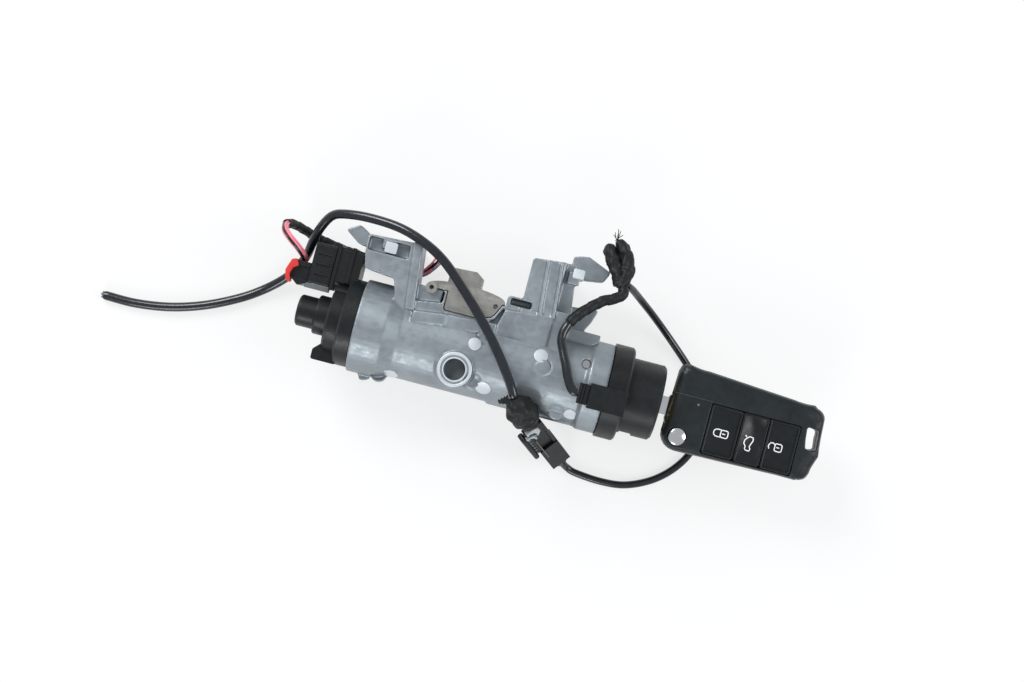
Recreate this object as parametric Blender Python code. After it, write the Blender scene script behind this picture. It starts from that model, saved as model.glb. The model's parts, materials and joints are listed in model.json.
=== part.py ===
"""Ignition switch and steering lock with its flip key, lying as it came off the column.

+X runs along the lock cylinder towards the key, +Y across it towards the steering column, +Z up.
The origin is on the flat back pad of the housing, right below the lock axis, in the middle of
the column gap. Meshes are drawn about the lock axis, which an empty holds above the table.
"""
import math

import bmesh
import bpy
from mathutils import Matrix, Vector

MM = 0.001
FIT = 0.3 * MM                   # gap between two pieces that touch
AXIS_HEIGHT = 30.0 * MM          # lock axis above the face that the housing lies on

# Column gap and lock barrel of the casting, along X from the middle of the gap
GAP_WIDTH = 49.6 * MM
BARREL_RADIUS = 20.5 * MM
SHOULDER_RADIUS = 23.0 * MM      # wide rear end that carries the switch
SHOULDER_LENGTH = 14.6 * MM
SHOULDER_TAPER = 7.0 * MM
COLLAR_RADIUS = 22.3 * MM        # front end that the reader coil sits against
COLLAR_LENGTH = 9.5 * MM
REAR_LENGTH = 25.5 * MM          # barrel behind the gap
NOSE_LENGTH = 49.7 * MM          # and ahead of it
BARREL_BACK = -GAP_WIDTH / 2 - REAR_LENGTH
BARREL_FRONT = GAP_WIDTH / 2 + NOSE_LENGTH
DEPTH_UP = 16.0 * MM             # arms and seat above the lock axis
DEPTH_DOWN = 17.0 * MM           # and below it
RAIL_TOP = 13.4 * MM             # flat of the seat rail above the lock axis
SEAT_Y = 26.8 * MM               # edge of the seat rail, under the bolt cover
SHELF_Y = 32.6 * MM              # shelf that the column lies on, right of the cover
ARM_LEFT_TOP = 45.6 * MM
ARM_RIGHT_TOP = 54.6 * MM

# Steering bolt and the cam that draws it in
BOLT_X = -4.3 * MM
BOLT_WIDTH = 16.8 * MM
BOLT_DEPTH = 12.0 * MM
BOLT_TIP = 39.6 * MM
BOLT_TRAVEL = 5.0 * MM
CAM_BASE = 5.5 * MM
CAM_WIDTH = 6.0 * MM
CAM_GAP = 0.5 * MM               # between cam and follower nose
CAM_SWEEP = math.radians(92)
TURN = math.radians(90)          # key turn from locked to start
NOSE_RADIUS = 0.8 * MM
YOKE_BAR = 2.6 * MM
YOKE_WIDTH = 8.0 * MM
SPRING_WELL = 2.9 * MM           # well for the bolt's spring, in the barrel's far wall
SPRING_FLOOR = -19.0 * MM
SHAFT_RADIUS = 3.5 * MM
COVER_LENGTH = 38.0 * MM
COVER_HALF_DEPTH = 14.6 * MM
COVER_EDGE = 1.4 * MM
COVER_RISE = 3.5 * MM
COVER_MIDDLE = BOLT_X + 2.2 * MM
SKIRT_LOW = 17.9 * MM            # lower edge of the cover's bent-down front
SKIRT_LEAN = 0.48                # slope of its right side
SKIRT_Z = (14.0 * MM, 15.4 * MM)
SKIRT_RIM = 1.6 * MM             # lip of the casting around the front
CURL_RADIUS = 2.9 * MM           # rolled end of the cover
CURL_BORE = 1.1 * MM

# Boss with the blind bore, ejector marks (x, y, radius) and the cylinder's retaining pin
BOSS = (1.6 * MM, -8.6 * MM)
BOSS_BORE = 5.25 * MM
BOSS_FLOOR = 15.8 * MM
BOSS_RIM = 8.5 * MM
BOSS_FOOT = 9.6 * MM
BOSS_TOP = 22.6 * MM
EJECTOR_RISE = 0.9 * MM
EJECTOR_MARKS = ((11.5 * MM, 10.2 * MM, 3.2 * MM), (10.8 * MM, -12.0 * MM, 3.9 * MM),
                 (BARREL_FRONT - 32.2 * MM, 3.3 * MM, 3.6 * MM), (BARREL_BACK + 16.3 * MM, -20.6 * MM, 4.0 * MM),
                 (BARREL_FRONT - 20.5 * MM, -16.6 * MM, 3.6 * MM))
PIN_PLACE = (BARREL_FRONT - 12.3 * MM, 9.7 * MM)
PIN_RADIUS = 2.0 * MM

# Lock cylinder
SLEEVE_RADIUS = 12.0 * MM
SLEEVE_BACK = BARREL_FRONT - 36.5 * MM
SLEEVE_FRONT = BARREL_FRONT + 25.8 * MM
CORE_RADIUS = 7.5 * MM
CORE_RIM = 9.3 * MM
CORE_RIM_LENGTH = 1.8 * MM
WAFER_COUNT = 8
WAFER_PITCH = 3.0 * MM
WAFER_THICKNESS = 1.2 * MM
WAFER_HALF_HEIGHT = 4.2 * MM
BLADE_WIDTH = 9.0 * MM
BLADE_THICKNESS = 3.0 * MM
BLADE_LENGTH = 34.0 * MM
KEYWAY_GAP = 0.35 * MM

# Immobiliser reader coil
COIL_FLANGE_RADIUS = 23.4 * MM
COIL_FLANGE_LENGTH = 9.8 * MM
COIL_NOSE_RADIUS = 18.7 * MM
COIL_FRONT = SLEEVE_FRONT + 1.4 * MM
WINDING_INNER = 14.4 * MM
WINDING_OUTER = 16.8 * MM
WINDING_LENGTH = 11.0 * MM
COIL_PLUG_Y = -4.2 * MM
COIL_SOCKET_X = (BARREL_FRONT - 7.9 * MM, BARREL_FRONT + 5.5 * MM)

# Ignition switch
SWITCH_RADIUS = 21.6 * MM
SWITCH_FLANGE = 7.4 * MM
SWITCH_DRUM_RADIUS = 17.0 * MM
SWITCH_LENGTH = 14.1 * MM
CAP_BASE_RADIUS = 9.7 * MM
CAP_BASE_LENGTH = 6.4 * MM
CAP_TIP_RADIUS = 7.8 * MM
CAP_TIP_LENGTH = 9.2 * MM
ROTOR_RADIUS = 12.5 * MM
ROTOR_LENGTH = 8.0 * MM
SCREW_SPREAD = 17.6 * MM

# Main plug, in the socket beside the switch
PLUG_Y = (13.6 * MM, 34.0 * MM)
PLUG_Z = (-14.0 * MM, 7.0 * MM)
SOCKET_FRONT = BARREL_BACK - 4.7 * MM
SOCKET_BACK = SOCKET_FRONT - 13.0 * MM
PLUG_BACK = SOCKET_BACK - 11.0 * MM
PLUG_WALL = 1.8 * MM
PLUG_CAP_BACK = PLUG_BACK - 9.6 * MM
PLUG_CAP_Y = (11.4 * MM, 23.5 * MM)

# Flip key
PIVOT = (SLEEVE_FRONT + 13.8 * MM, -13.1 * MM)
FOB_BACK = PIVOT[0] - 8.0 * MM
FOB_FRONT = FOB_BACK + 76.3 * MM
FOB_HALF = 8.0 * MM
FOB_WALL = 1.6 * MM
HUB_RADIUS = 7.0 * MM
HUB_HALF = 2.6 * MM
POCKET_RADIUS = 22.0 * MM
RELEASE_RADIUS = 4.3 * MM
RELEASE_TRAVEL = 2.0 * MM
BUTTON_TRAVEL = 0.8 * MM
BUTTONS_START = FOB_BACK + 20.9 * MM
BUTTON_WIDTHS = (("button_lock", 15.6 * MM), ("button_boot", 13.0 * MM), ("button_unlock", 15.0 * MM))
BUTTON_GAP = 0.4 * MM
BUTTON_Y = (-17.6 * MM, 6.8 * MM)
BUTTON_LOW = 5.45 * MM           # underside of a button, above its travel
BUTTON_TOP = 7.8 * MM
BUTTON_CHAMFER = 0.7 * MM
POCKET_BACK = FOB_BACK + 17.9 * MM   # electronics pocket inside the shells
POCKET_FRONT = FOB_FRONT - 10.0 * MM
BOARD_Z = (1.5 * MM, 2.7 * MM)
MAT_Z = (3.0 * MM, 4.5 * MM)
CELL_RADIUS = 10.0 * MM
CELL_PLACE = (FOB_BACK + 43.9 * MM, -1.5 * MM)
CELL_Z = (-2.0 * MM, 1.2 * MM)
SPRING_OUTER = 5.6 * MM          # pocket of the fold spring
SPRING_INNER = 3.2 * MM

# Leads
MAIN_LEAD = 4.6 * MM
LOOP_LEAD = 3.7 * MM
TAPED_LOOM = 5.6 * MM
PLUG_LOOM = 5.0 * MM


def clear_scene():
    """Remove every object that the file opened with."""
    for old in list(bpy.data.objects):
        bpy.data.objects.remove(old)


def finish(name, colour, roughness, metallic=0.0):
    """One Principled material."""
    material = bpy.data.materials.new(name)
    material.use_nodes = True
    shader = material.node_tree.nodes["Principled BSDF"]
    shader.inputs["Base Color"].default_value = (*colour, 1.0)
    shader.inputs["Roughness"].default_value = roughness
    shader.inputs["Metallic"].default_value = metallic
    return material


def link(name, mesh, material, origin=(0, 0, 0), parent=None, smooth=30):
    """Name a mesh drawn about the lock axis, with its own origin moved to a joint's place."""
    mesh.transform(Matrix.Translation(-Vector(origin)))
    mesh.shade_smooth()
    mesh.set_sharp_from_angle(angle=math.radians(smooth))
    mesh.materials.clear()
    mesh.materials.append(material)
    piece = bpy.data.objects.new(name, mesh)
    bpy.context.collection.objects.link(piece)
    piece.parent = parent
    piece.location = Vector(origin) - (Vector(parent["origin"]) if parent and "origin" in parent else Vector())
    return piece


def axis_empty(name, origin, parent=None):
    """An empty on a joint's axis, which carries the pieces that move about it."""
    empty = bpy.data.objects.new(name, None)
    bpy.context.collection.objects.link(empty)
    empty.parent = parent
    base = Vector(parent["origin"]) if parent and "origin" in parent else Vector()
    empty.location = Vector(origin) - base
    empty["origin"] = tuple(origin)
    return empty


def to_mesh(bm):
    """Close a bmesh into a mesh with its faces pointing out."""
    bmesh.ops.recalc_face_normals(bm, faces=bm.faces)
    mesh = bpy.data.meshes.new("shape")
    bm.to_mesh(mesh)
    bm.free()
    return mesh


def turned(profile, segments=32, centre=(0, 0)):
    """Revolve (x, r) points about a line along X: flat ends if it starts and stops on the line, else a ring."""
    bm = bmesh.new()
    rings = []
    for x, radius in profile:
        if radius == 0:
            continue
        turns = [2 * math.pi * step / segments for step in range(segments)]
        rings.append([bm.verts.new((x, centre[0] + radius * math.cos(turn), centre[1] + radius * math.sin(turn)))
                      for turn in turns])
    pairs = list(zip(rings, rings[1:]))
    if profile[0][1] == 0:
        bm.faces.new(rings[0])
        bm.faces.new(rings[-1])
    else:
        pairs.append((rings[-1], rings[0]))
    for near, far in pairs:
        for step in range(segments):
            after = (step + 1) % segments
            bm.faces.new((near[step], near[after], far[after], far[step]))
    return to_mesh(bm)


def prism(outline, low, high, along="Z"):
    """Extrude an outline from low to high: XY points along Z, YZ along X, or XZ along Y."""
    bm = bmesh.new()
    order = {"Z": lambda a, b, c: (a, b, c), "X": lambda a, b, c: (c, a, b), "Y": lambda a, b, c: (a, c, b)}[along]
    bottom = [bm.verts.new(order(a, b, low)) for a, b in outline]
    top = [bm.verts.new(order(a, b, high)) for a, b in outline]
    bm.faces.new(bottom)
    bm.faces.new(top)
    for step in range(len(outline)):
        after = (step + 1) % len(outline)
        bm.faces.new((bottom[step], bottom[after], top[after], top[step]))
    return to_mesh(bm)


def box(low, high):
    """A block between two corners."""
    return prism([(low[0], low[1]), (high[0], low[1]), (high[0], high[1]), (low[0], high[1])], low[2], high[2])


def disc(centre, radius, low, high, segments=20):
    """A round post along Z."""
    return prism(ring_points(centre, radius, segments), low, high)


def ring_points(centre, radius, segments, start=0.0, sweep=2 * math.pi):
    """Points on a circle or an arc."""
    last = segments if abs(sweep) > 6.28 else segments - 1
    return [(centre[0] + radius * math.cos(start + sweep * step / last),
             centre[1] + radius * math.sin(start + sweep * step / last)) for step in range(segments)]


def rounded(corners, steps=4):
    """An outline whose corners (a, b, radius) are arcs that touch both of their sides."""
    points = []
    for index, (a, b, radius) in enumerate(corners):
        here = Vector((a, b))
        before = (Vector(corners[index - 1][:2]) - here).normalized()
        after = (Vector(corners[(index + 1) % len(corners)][:2]) - here).normalized()
        if radius == 0:
            points.append((a, b))
            continue
        half = before.angle(after) / 2
        centre = here + (before + after).normalized() * radius / math.sin(half)
        first = here + before * radius / math.tan(half) - centre
        last = here + after * radius / math.tan(half) - centre
        sweep = first.angle_signed(last)
        for step in range(steps + 1):
            turn = Matrix.Rotation(-sweep * step / steps, 2)
            points.append(tuple(centre + turn @ first))
    return points


def combine(body, tools, operation):
    """Apply one exact boolean after another; the tools are used up."""
    for tool in tools:
        shape = bpy.data.objects.new("shape", body)
        helper = bpy.data.objects.new("helper", tool)
        bpy.context.collection.objects.link(shape)
        bpy.context.collection.objects.link(helper)
        modifier = shape.modifiers.new("combine", "BOOLEAN")
        modifier.operation = operation
        modifier.solver = "EXACT"
        modifier.object = helper
        evaluated = shape.evaluated_get(bpy.context.evaluated_depsgraph_get())
        body = bpy.data.meshes.new_from_object(evaluated)
        bpy.data.objects.remove(helper)
        bpy.data.objects.remove(shape)
    return body


def join(body, *tools):
    """Fuse shapes that run into one another."""
    return combine(body, tools, "UNION")


def cut(body, *tools):
    """Take shapes out of a body."""
    return combine(body, tools, "DIFFERENCE")


def smooth_route(points, spacing, share=(0.0, 1.0)):
    """Evenly spaced points on a smooth curve through the hand-set points of a lead, or on a share of it."""
    route = [Vector(point) * MM for point in points]
    ends = [2 * route[0] - route[1]] + route + [2 * route[-1] - route[-2]]
    fine = []
    for before, start, end, after in zip(ends, ends[1:], ends[2:], ends[3:]):
        for step in range(12):
            u = step / 12
            fine.append(0.5 * (2 * start + (end - before) * u
                               + (2 * before - 5 * start + 4 * end - after) * u * u
                               + (3 * start - before - 3 * end + after) * u ** 3))
    fine.append(route[-1])
    length = sum((b - a).length for a, b in zip(fine, fine[1:]))
    first = length * share[0] + (FIT if share[0] > 0 else 0)
    last = length * share[1] - (FIT if share[1] < 1 else 0)
    count = max(3, round((last - first) / spacing))
    wanted = [first + (last - first) * index / count for index in range(count + 1)]
    wanted = [first, first + spacing / 5] + wanted[1:-1] + [last - spacing / 5, last]
    even = []
    walked = 0.0
    for a, b in zip(fine, fine[1:]):
        step = (b - a).length
        while len(even) < len(wanted) and walked + step >= wanted[len(even)] - 1e-9:
            even.append(a.lerp(b, (wanted[len(even)] - walked) / step))
        walked += step
    return even


def lead(name, points, diameter, material, parent, share=(0.0, 1.0)):
    """A round lead along its route, or along a share of it, with closed ends."""
    curve = bpy.data.curves.new(name, "CURVE")
    curve.dimensions = "3D"
    spline = curve.splines.new("POLY")
    route = smooth_route(points, 2.2 * diameter, share)
    spline.points.add(len(route) - 1)
    for point, place in zip(spline.points, route):
        point.co = (*place, 1.0)
    curve.bevel_depth = diameter / 2
    curve.bevel_resolution = 2
    curve.use_fill_caps = True
    curve.materials.append(material)
    piece = bpy.data.objects.new(name, curve)
    bpy.context.collection.objects.link(piece)
    piece.parent = parent
    return piece


def barrel_shape():
    """Turned outside of the lock barrel: switch shoulder, body and front collar."""
    shoulder_end = BARREL_BACK + SHOULDER_LENGTH
    collar_start = BARREL_FRONT - COLLAR_LENGTH
    return turned([(BARREL_BACK, 0), (BARREL_BACK, SHOULDER_RADIUS), (shoulder_end, SHOULDER_RADIUS),
                   (shoulder_end + SHOULDER_TAPER, BARREL_RADIUS), (collar_start - 2 * MM, BARREL_RADIUS),
                   (collar_start, COLLAR_RADIUS), (BARREL_FRONT, COLLAR_RADIUS), (BARREL_FRONT, 0)], 48)


def left_arm():
    """Arm at the switch end, with its hook, web and the flared foot of the web on the barrel."""
    face = -GAP_WIDTH / 2
    top = ARM_LEFT_TOP
    web = rounded([(face, 12 * MM, 0), (face - 3.3 * MM, top, 1 * MM), (face - 29.7 * MM, top - 1.4 * MM, 1 * MM),
                   (face - 29.7 * MM, 35.2 * MM, 0), (face - 27.9 * MM, 27.7 * MM, 1 * MM),
                   (face - 13 * MM, 26.4 * MM, 2 * MM), (face - 10 * MM, 16 * MM, 5 * MM),
                   (face - 17 * MM, 10.8 * MM, 0), (face - 9.9 * MM, 4.7 * MM, 1 * MM)])
    rib = [(face, 14 * MM), (face - 3.3 * MM, top + 0.7 * MM), (face - 8 * MM, top), (face - 4.4 * MM, 14 * MM)]
    hook = rounded([(face - 42.2 * MM, 43.8 * MM, 1 * MM), (face - 35.6 * MM, 47.5 * MM, 1 * MM),
                    (face - 29 * MM, top - 2 * MM, 0), (face - 20 * MM, top - 2 * MM, 0),
                    (face - 20 * MM, 36.5 * MM, 0), (face - 34.8 * MM, 38.6 * MM, 0)])
    ledge = box((face - 29 * MM, 36.8 * MM, 0), (face - 9 * MM, top - 2.2 * MM, DEPTH_UP + 0.01 * MM))
    pad = box((face - 22.6 * MM, 39.2 * MM, DEPTH_UP - 5 * MM), (face - 16.6 * MM, top - 1.2 * MM, DEPTH_UP - 1 * MM))
    web = cut(prism(web, -DEPTH_DOWN, DEPTH_UP), shifted(ledge, z=DEPTH_UP - 4.5 * MM))
    return [web, prism(rib, -DEPTH_DOWN + 0.5 * MM, DEPTH_UP + 1.2 * MM), pad,
            prism(hook, -9 * MM, DEPTH_UP - 8 * MM)]


def right_arm():
    """Taller arm at the key end, with two ribs on its face, a stepped side and a tab."""
    face = GAP_WIDTH / 2
    top = ARM_RIGHT_TOP
    side = face + 24.5 * MM
    block = rounded([(face, 12 * MM, 0), (side, 12 * MM, 0), (side, 30 * MM, 1 * MM),
                     (side - 3.1 * MM, top + 0.6 * MM, 1 * MM), (face, top - 1.6 * MM, 1 * MM)])
    ribs = [prism([(x + 2.4 * MM, 27 * MM), (x + 4 * MM, 27 * MM), (x + 1.6 * MM, top - 0.8 * MM),
                   (x, top - 0.9 * MM)], 0, DEPTH_UP + 1.2 * MM) for x in (face + 6.4 * MM, face + 13.2 * MM)]
    recess = box((side - 8.1 * MM, 31 * MM, DEPTH_UP - 6 * MM), (side + 10.7 * MM, top + 3 * MM, DEPTH_UP + 2 * MM))
    pad = box((side - 6.1 * MM, top - 9.4 * MM, DEPTH_UP - 8 * MM),
              (side - 0.1 * MM, top - 3.2 * MM, DEPTH_UP - 3.2 * MM))
    tab = rounded([(side - 5.3 * MM, top - 5.5 * MM, 0), (side - 5.3 * MM, top + 4.4 * MM, 0),
                   (side - 2 * MM, top + 5.5 * MM, 1 * MM), (side + 1.8 * MM, top + 6.1 * MM, 1 * MM),
                   (side + 14 * MM, top + 1.1 * MM, 1 * MM), (side + 11.5 * MM, top - 4.2 * MM, 1 * MM),
                   (side + 3.3 * MM, top - 5.5 * MM, 0)])
    fin = rounded([(side - 3.3 * MM, 24 * MM, 0), (side - 3.3 * MM, 35 * MM, 0), (side + 13.4 * MM, 37 * MM, 1 * MM),
                   (side + 11.1 * MM, 30 * MM, 1 * MM), (side + 4.7 * MM, 18 * MM, 0)])
    block = cut(prism(block, -DEPTH_DOWN, DEPTH_UP), recess)
    return [block, *ribs, pad, prism(tab, -8 * MM, DEPTH_UP - 11 * MM), prism(fin, -14 * MM, -6 * MM)]


def shifted(mesh, x=0.0, y=0.0, z=0.0):
    """The same shape, moved."""
    mesh.transform(Matrix.Translation((x, y, z)))
    return mesh


def seat_rail():
    """Seat between the arms: rail, stepped blocks along its edge, the column's shelf and the cover's rim."""
    half = GAP_WIDTH / 2
    rail = prism([(-half - 4 * MM, 4 * MM), (half + 20 * MM, 4 * MM), (half + 20 * MM, 24.6 * MM),
                  (half + 2 * MM, SEAT_Y), (-half - 1 * MM, SEAT_Y)], -DEPTH_DOWN, RAIL_TOP)
    upper = prism([(-half - 1 * MM, 13.5 * MM), (-half + 13.4 * MM, 15.5 * MM), (-half + 13.4 * MM, 20.9 * MM),
                   (-half - 1 * MM, 18.6 * MM)], 5 * MM, DEPTH_UP)
    lower = prism([(-half + 0.2 * MM, 8.5 * MM), (-half + 16.3 * MM, 10.5 * MM), (-half + 16.3 * MM, 16 * MM),
                   (-half + 0.2 * MM, 13.9 * MM)], 5 * MM, DEPTH_UP + 3.2 * MM)
    middle = prism([(-half + 16 * MM, 9.5 * MM), (half - 9 * MM, 12.5 * MM), (half - 9 * MM, 17.5 * MM),
                    (-half + 16 * MM, 16 * MM)], 5 * MM, DEPTH_UP + 2.2 * MM)
    right = prism([(half - 10 * MM, 13 * MM), (half + 16.4 * MM, 13 * MM), (half + 16.4 * MM, 27.8 * MM),
                   (half - 6.8 * MM, 25.4 * MM)], 5 * MM, DEPTH_UP + 0.8 * MM)
    shelf = rounded([(half - 7.2 * MM, 20 * MM, 0), (half + 2.2 * MM, 20 * MM, 0), (half + 2.2 * MM, SHELF_Y, 0),
                     (half - 7.2 * MM, SHELF_Y, 1.5 * MM)])
    rim = prism(cover_skirt(SKIRT_RIM, SEAT_Y), 8 * MM, DEPTH_UP - 0.2 * MM)
    return [rail, upper, lower, middle, right, prism(shelf, -DEPTH_DOWN + 1 * MM, DEPTH_UP - 1 * MM), rim]


def seat_recesses():
    """What is taken out of the seat: the pocket of the cover's front and the recess in the shelf's top."""
    half = GAP_WIDTH / 2
    pocket = prism(cover_skirt(FIT + 0.1 * MM, SEAT_Y + 3 * MM), SKIRT_Z[0] - FIT, DEPTH_UP + 6 * MM)
    recess = box((half - 5.4 * MM, SHELF_Y - 4.2 * MM, 7 * MM), (half + 4.8 * MM, SHELF_Y - 1 * MM, DEPTH_UP + 6 * MM))
    return [pocket, recess]


def cover_skirt(grow, top):
    """Outline of the bolt cover's bent-down front, up to a height across the lock; grow widens it all round."""
    left = COVER_MIDDLE - 8.7 * MM - grow
    low = SKIRT_LOW - grow
    corner = (COVER_MIDDLE + 14.7 * MM + 0.63 * grow, low + 2.5 * MM)
    return rounded([(left, top, 0), (left, low, 1.2 * MM), (COVER_MIDDLE + 7.1 * MM, low, 6 * MM), (*corner, 3 * MM),
                    (corner[0] + SKIRT_LEAN * (top - corner[1]), top, 0)])


def yoke_outline(grow=0.0, drop=0.0):
    """Outer outline of the yoke in YZ, with its lower corners cut back to stay inside the barrel."""
    half = CAM_BASE + BOLT_TRAVEL + 0.6 * MM + YOKE_BAR + grow
    floor = -(CAM_BASE + CAM_GAP + 2 * NOSE_RADIUS + YOKE_BAR) - grow - drop
    shoulder = -2.6 * MM - drop
    return half, [(floor, -7 * MM - grow / 2), (floor, 7 * MM + grow / 2), (shoulder, half), (14 * MM, half),
                  (14 * MM, -half), (shoulder, -half)]


def housing_mesh():
    """The die casting: barrel, arms, seat, boss, pads and everything bored out of it."""
    solid = join(barrel_shape(), *seat_rail(), *left_arm(), *right_arm(), *pads(), *raised_details())
    half, chamber = yoke_outline(0.4 * MM, BOLT_TRAVEL)
    chamber = [(a, b) if a < 10 * MM else (SEAT_Y + 3 * MM, b) for a, b in chamber]
    bolt_low = BOLT_X - BOLT_WIDTH / 2 - 0.4 * MM
    bolt_high = BOLT_X + BOLT_WIDTH / 2 + 0.4 * MM
    sleeve_bore = turned([(SLEEVE_BACK - FIT, 0), (SLEEVE_BACK - FIT, SLEEVE_RADIUS + FIT),
                          (BARREL_FRONT + 1 * MM, SLEEVE_RADIUS + FIT), (BARREL_FRONT + 1 * MM, 0)], 32)
    shaft_bore = turned([(BARREL_BACK - 1 * MM, 0), (BARREL_BACK - 1 * MM, SHAFT_RADIUS + FIT),
                         (SLEEVE_BACK + 1 * MM, SHAFT_RADIUS + FIT), (SLEEVE_BACK + 1 * MM, 0)], 24)
    spring_well = prism(ring_points((BOLT_X, 0), SPRING_WELL, 16), SPRING_FLOOR, -10 * MM, "Y")
    tools = [prism(chamber, bolt_low, bolt_high, "X"), spring_well, sleeve_bore, shaft_bore,
             disc(BOSS, BOSS_BORE, BOSS_FLOOR, 30 * MM, 28), *seat_recesses(),
             disc(PIN_PLACE, PIN_RADIUS + FIT, 2.6 * MM, 30 * MM, 16)]
    tools += [turned([(BARREL_BACK - 1 * MM, 0), (BARREL_BACK - 1 * MM, 1.6 * MM), (BARREL_BACK + 9 * MM, 1.6 * MM),
                      (BARREL_BACK + 9 * MM, 0)], 12, centre=(y, z)) for y, z in screw_places()]
    return cut(solid, *tools)


def screw_places():
    """The two switch screws, either side of the lock axis."""
    return ((SCREW_SPREAD * math.cos(turn), SCREW_SPREAD * math.sin(turn))
            for turn in (math.radians(-150), math.radians(30)))


def pads():
    """Flat pads under the barrel and under both arms, all on one plane."""
    table = -AXIS_HEIGHT
    half = GAP_WIDTH / 2
    centre = box((-half + 2.8 * MM, -9 * MM, table), (half + 21.2 * MM, 9 * MM, -12 * MM))
    left = box((-half - 20 * MM, 39.4 * MM, table), (-half - 4.6 * MM, ARM_LEFT_TOP - 1.6 * MM, -14 * MM))
    right = box((half + 3 * MM, 40 * MM, table), (half + 19 * MM, ARM_RIGHT_TOP - 2 * MM, -14 * MM))
    return [centre, left, right]


def raised_details():
    """Boss around the blind bore, ejector marks, the switch lug and the ribs below the barrel's edge."""
    boss = join(disc(BOSS, BOSS_FOOT, 8 * MM, BOSS_TOP - 2.8 * MM, 28), disc(BOSS, BOSS_RIM, 8 * MM, BOSS_TOP, 28))
    marks = [disc((x, y), radius, 6 * MM, barrel_height(y) + EJECTOR_RISE, 14) for x, y, radius in EJECTOR_MARKS]
    back = BARREL_BACK + 4.3 * MM
    lug = prism(rounded([(back, -14 * MM, 0), (back + 8.4 * MM, -14 * MM, 0), (back + 7.6 * MM, -24.6 * MM, 1.2 * MM),
                         (back + 3.6 * MM, -26.2 * MM, 1.2 * MM), (back, -20 * MM, 0)]), -5 * MM, 3 * MM)
    foot_rib = box((GAP_WIDTH / 2 - 4.8 * MM, -BARREL_RADIUS - 0.9 * MM, -4 * MM),
                   (BARREL_FRONT - 10.5 * MM, -15 * MM, 1.2 * MM))
    key_block = box((BARREL_FRONT - 26.5 * MM, 12 * MM, -8 * MM),
                    (BARREL_FRONT - 8.5 * MM, BARREL_RADIUS + 4.3 * MM, 8 * MM))
    return [boss, *marks, lug, foot_rib, key_block]


def barrel_height(y):
    """Height of the barrel's surface above the lock axis, at a distance from it."""
    return math.sqrt(max(BARREL_RADIUS ** 2 - y * y, 0.0))


def bolt_cover_mesh():
    """Domed plate over the bolt's chamber: window that guides the bolt, bent-down front and rolled end."""
    half = COVER_LENGTH / 2
    foot = SEAT_Y + FIT
    dome = [(COVER_MIDDLE + half * math.cos(turn), foot + COVER_EDGE + COVER_RISE * math.sin(turn))
            for turn in (math.pi * step / 14 for step in range(15))]
    outline = [(COVER_MIDDLE - half, foot), (COVER_MIDDLE + half, foot)] + dome
    plate = prism(outline, -COVER_HALF_DEPTH, COVER_HALF_DEPTH)
    window = box((BOLT_X - BOLT_WIDTH / 2 - FIT, 20 * MM, -BOLT_DEPTH / 2 - FIT),
                 (BOLT_X + BOLT_WIDTH / 2 + FIT, 40 * MM, BOLT_DEPTH / 2 + FIT))
    skirt = prism(cover_skirt(0.0, foot + 1 * MM), *SKIRT_Z)
    curl = (COVER_MIDDLE - half + 1.9 * MM, SEAT_Y)
    rolled = disc(curl, CURL_RADIUS, *SKIRT_Z)
    holes = [disc(curl, CURL_BORE, 10 * MM, 20 * MM, 12),
             disc((COVER_MIDDLE + 15 * MM, SEAT_Y - 1.4 * MM), 1.2 * MM, 10 * MM, 20 * MM, 12)]
    return cut(join(plate, skirt, rolled), window, *holes)


def lock_bolt_mesh():
    """Steering bolt: the block that enters the column, and the yoke that the cam draws in."""
    half, outer = yoke_outline()
    low = BOLT_X - BOLT_WIDTH / 2
    head = [(low, 12 * MM), (BOLT_X + BOLT_WIDTH / 2, 12 * MM), (BOLT_X + BOLT_WIDTH / 2, BOLT_TIP - 2.8 * MM),
            (BOLT_X + BOLT_WIDTH / 2 - 4 * MM, BOLT_TIP), (low + 1 * MM, BOLT_TIP - 0.6 * MM), (low, BOLT_TIP - 2 * MM)]
    shoulder = -3.4 * MM
    inner_half = half - YOKE_BAR
    seat = -(CAM_BASE + CAM_GAP + 2 * NOSE_RADIUS)
    roof = CAM_BASE + BOLT_TRAVEL + 0.6 * MM
    nose_y = -(CAM_BASE + CAM_GAP + NOSE_RADIUS)
    nose = [(nose_y + NOSE_RADIUS * math.sin(turn), -NOSE_RADIUS * math.cos(turn))
            for turn in (math.pi * step / 6 for step in range(7))]
    opening = [(seat, -6.2 * MM), (seat, -NOSE_RADIUS), *nose, (seat, NOSE_RADIUS), (seat, 6.2 * MM),
               (shoulder, inner_half), (roof, inner_half), (roof, -inner_half), (shoulder, -inner_half)]
    yoke = prism(outer, BOLT_X - YOKE_WIDTH / 2, BOLT_X + YOKE_WIDTH / 2, "X")
    window = prism(opening, BOLT_X - YOKE_WIDTH, BOLT_X + YOKE_WIDTH, "X")
    return join(cut(yoke, window), prism(head, -BOLT_DEPTH / 2, BOLT_DEPTH / 2))


def cam_outline():
    """Base circle with a lobe that rises in step with its angle, so the bolt follows at one ratio."""
    rise = BOLT_TRAVEL / TURN
    steps = 14
    lobe = []
    for step in range(steps + 1):
        turn = CAM_SWEEP * step / steps
        radius = CAM_BASE + rise * turn
        lobe.append((-radius * math.cos(turn), -radius * math.sin(turn)))
    back = ring_points((0, 0), CAM_BASE, 16, math.radians(-68), math.radians(238))
    return lobe + back


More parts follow.
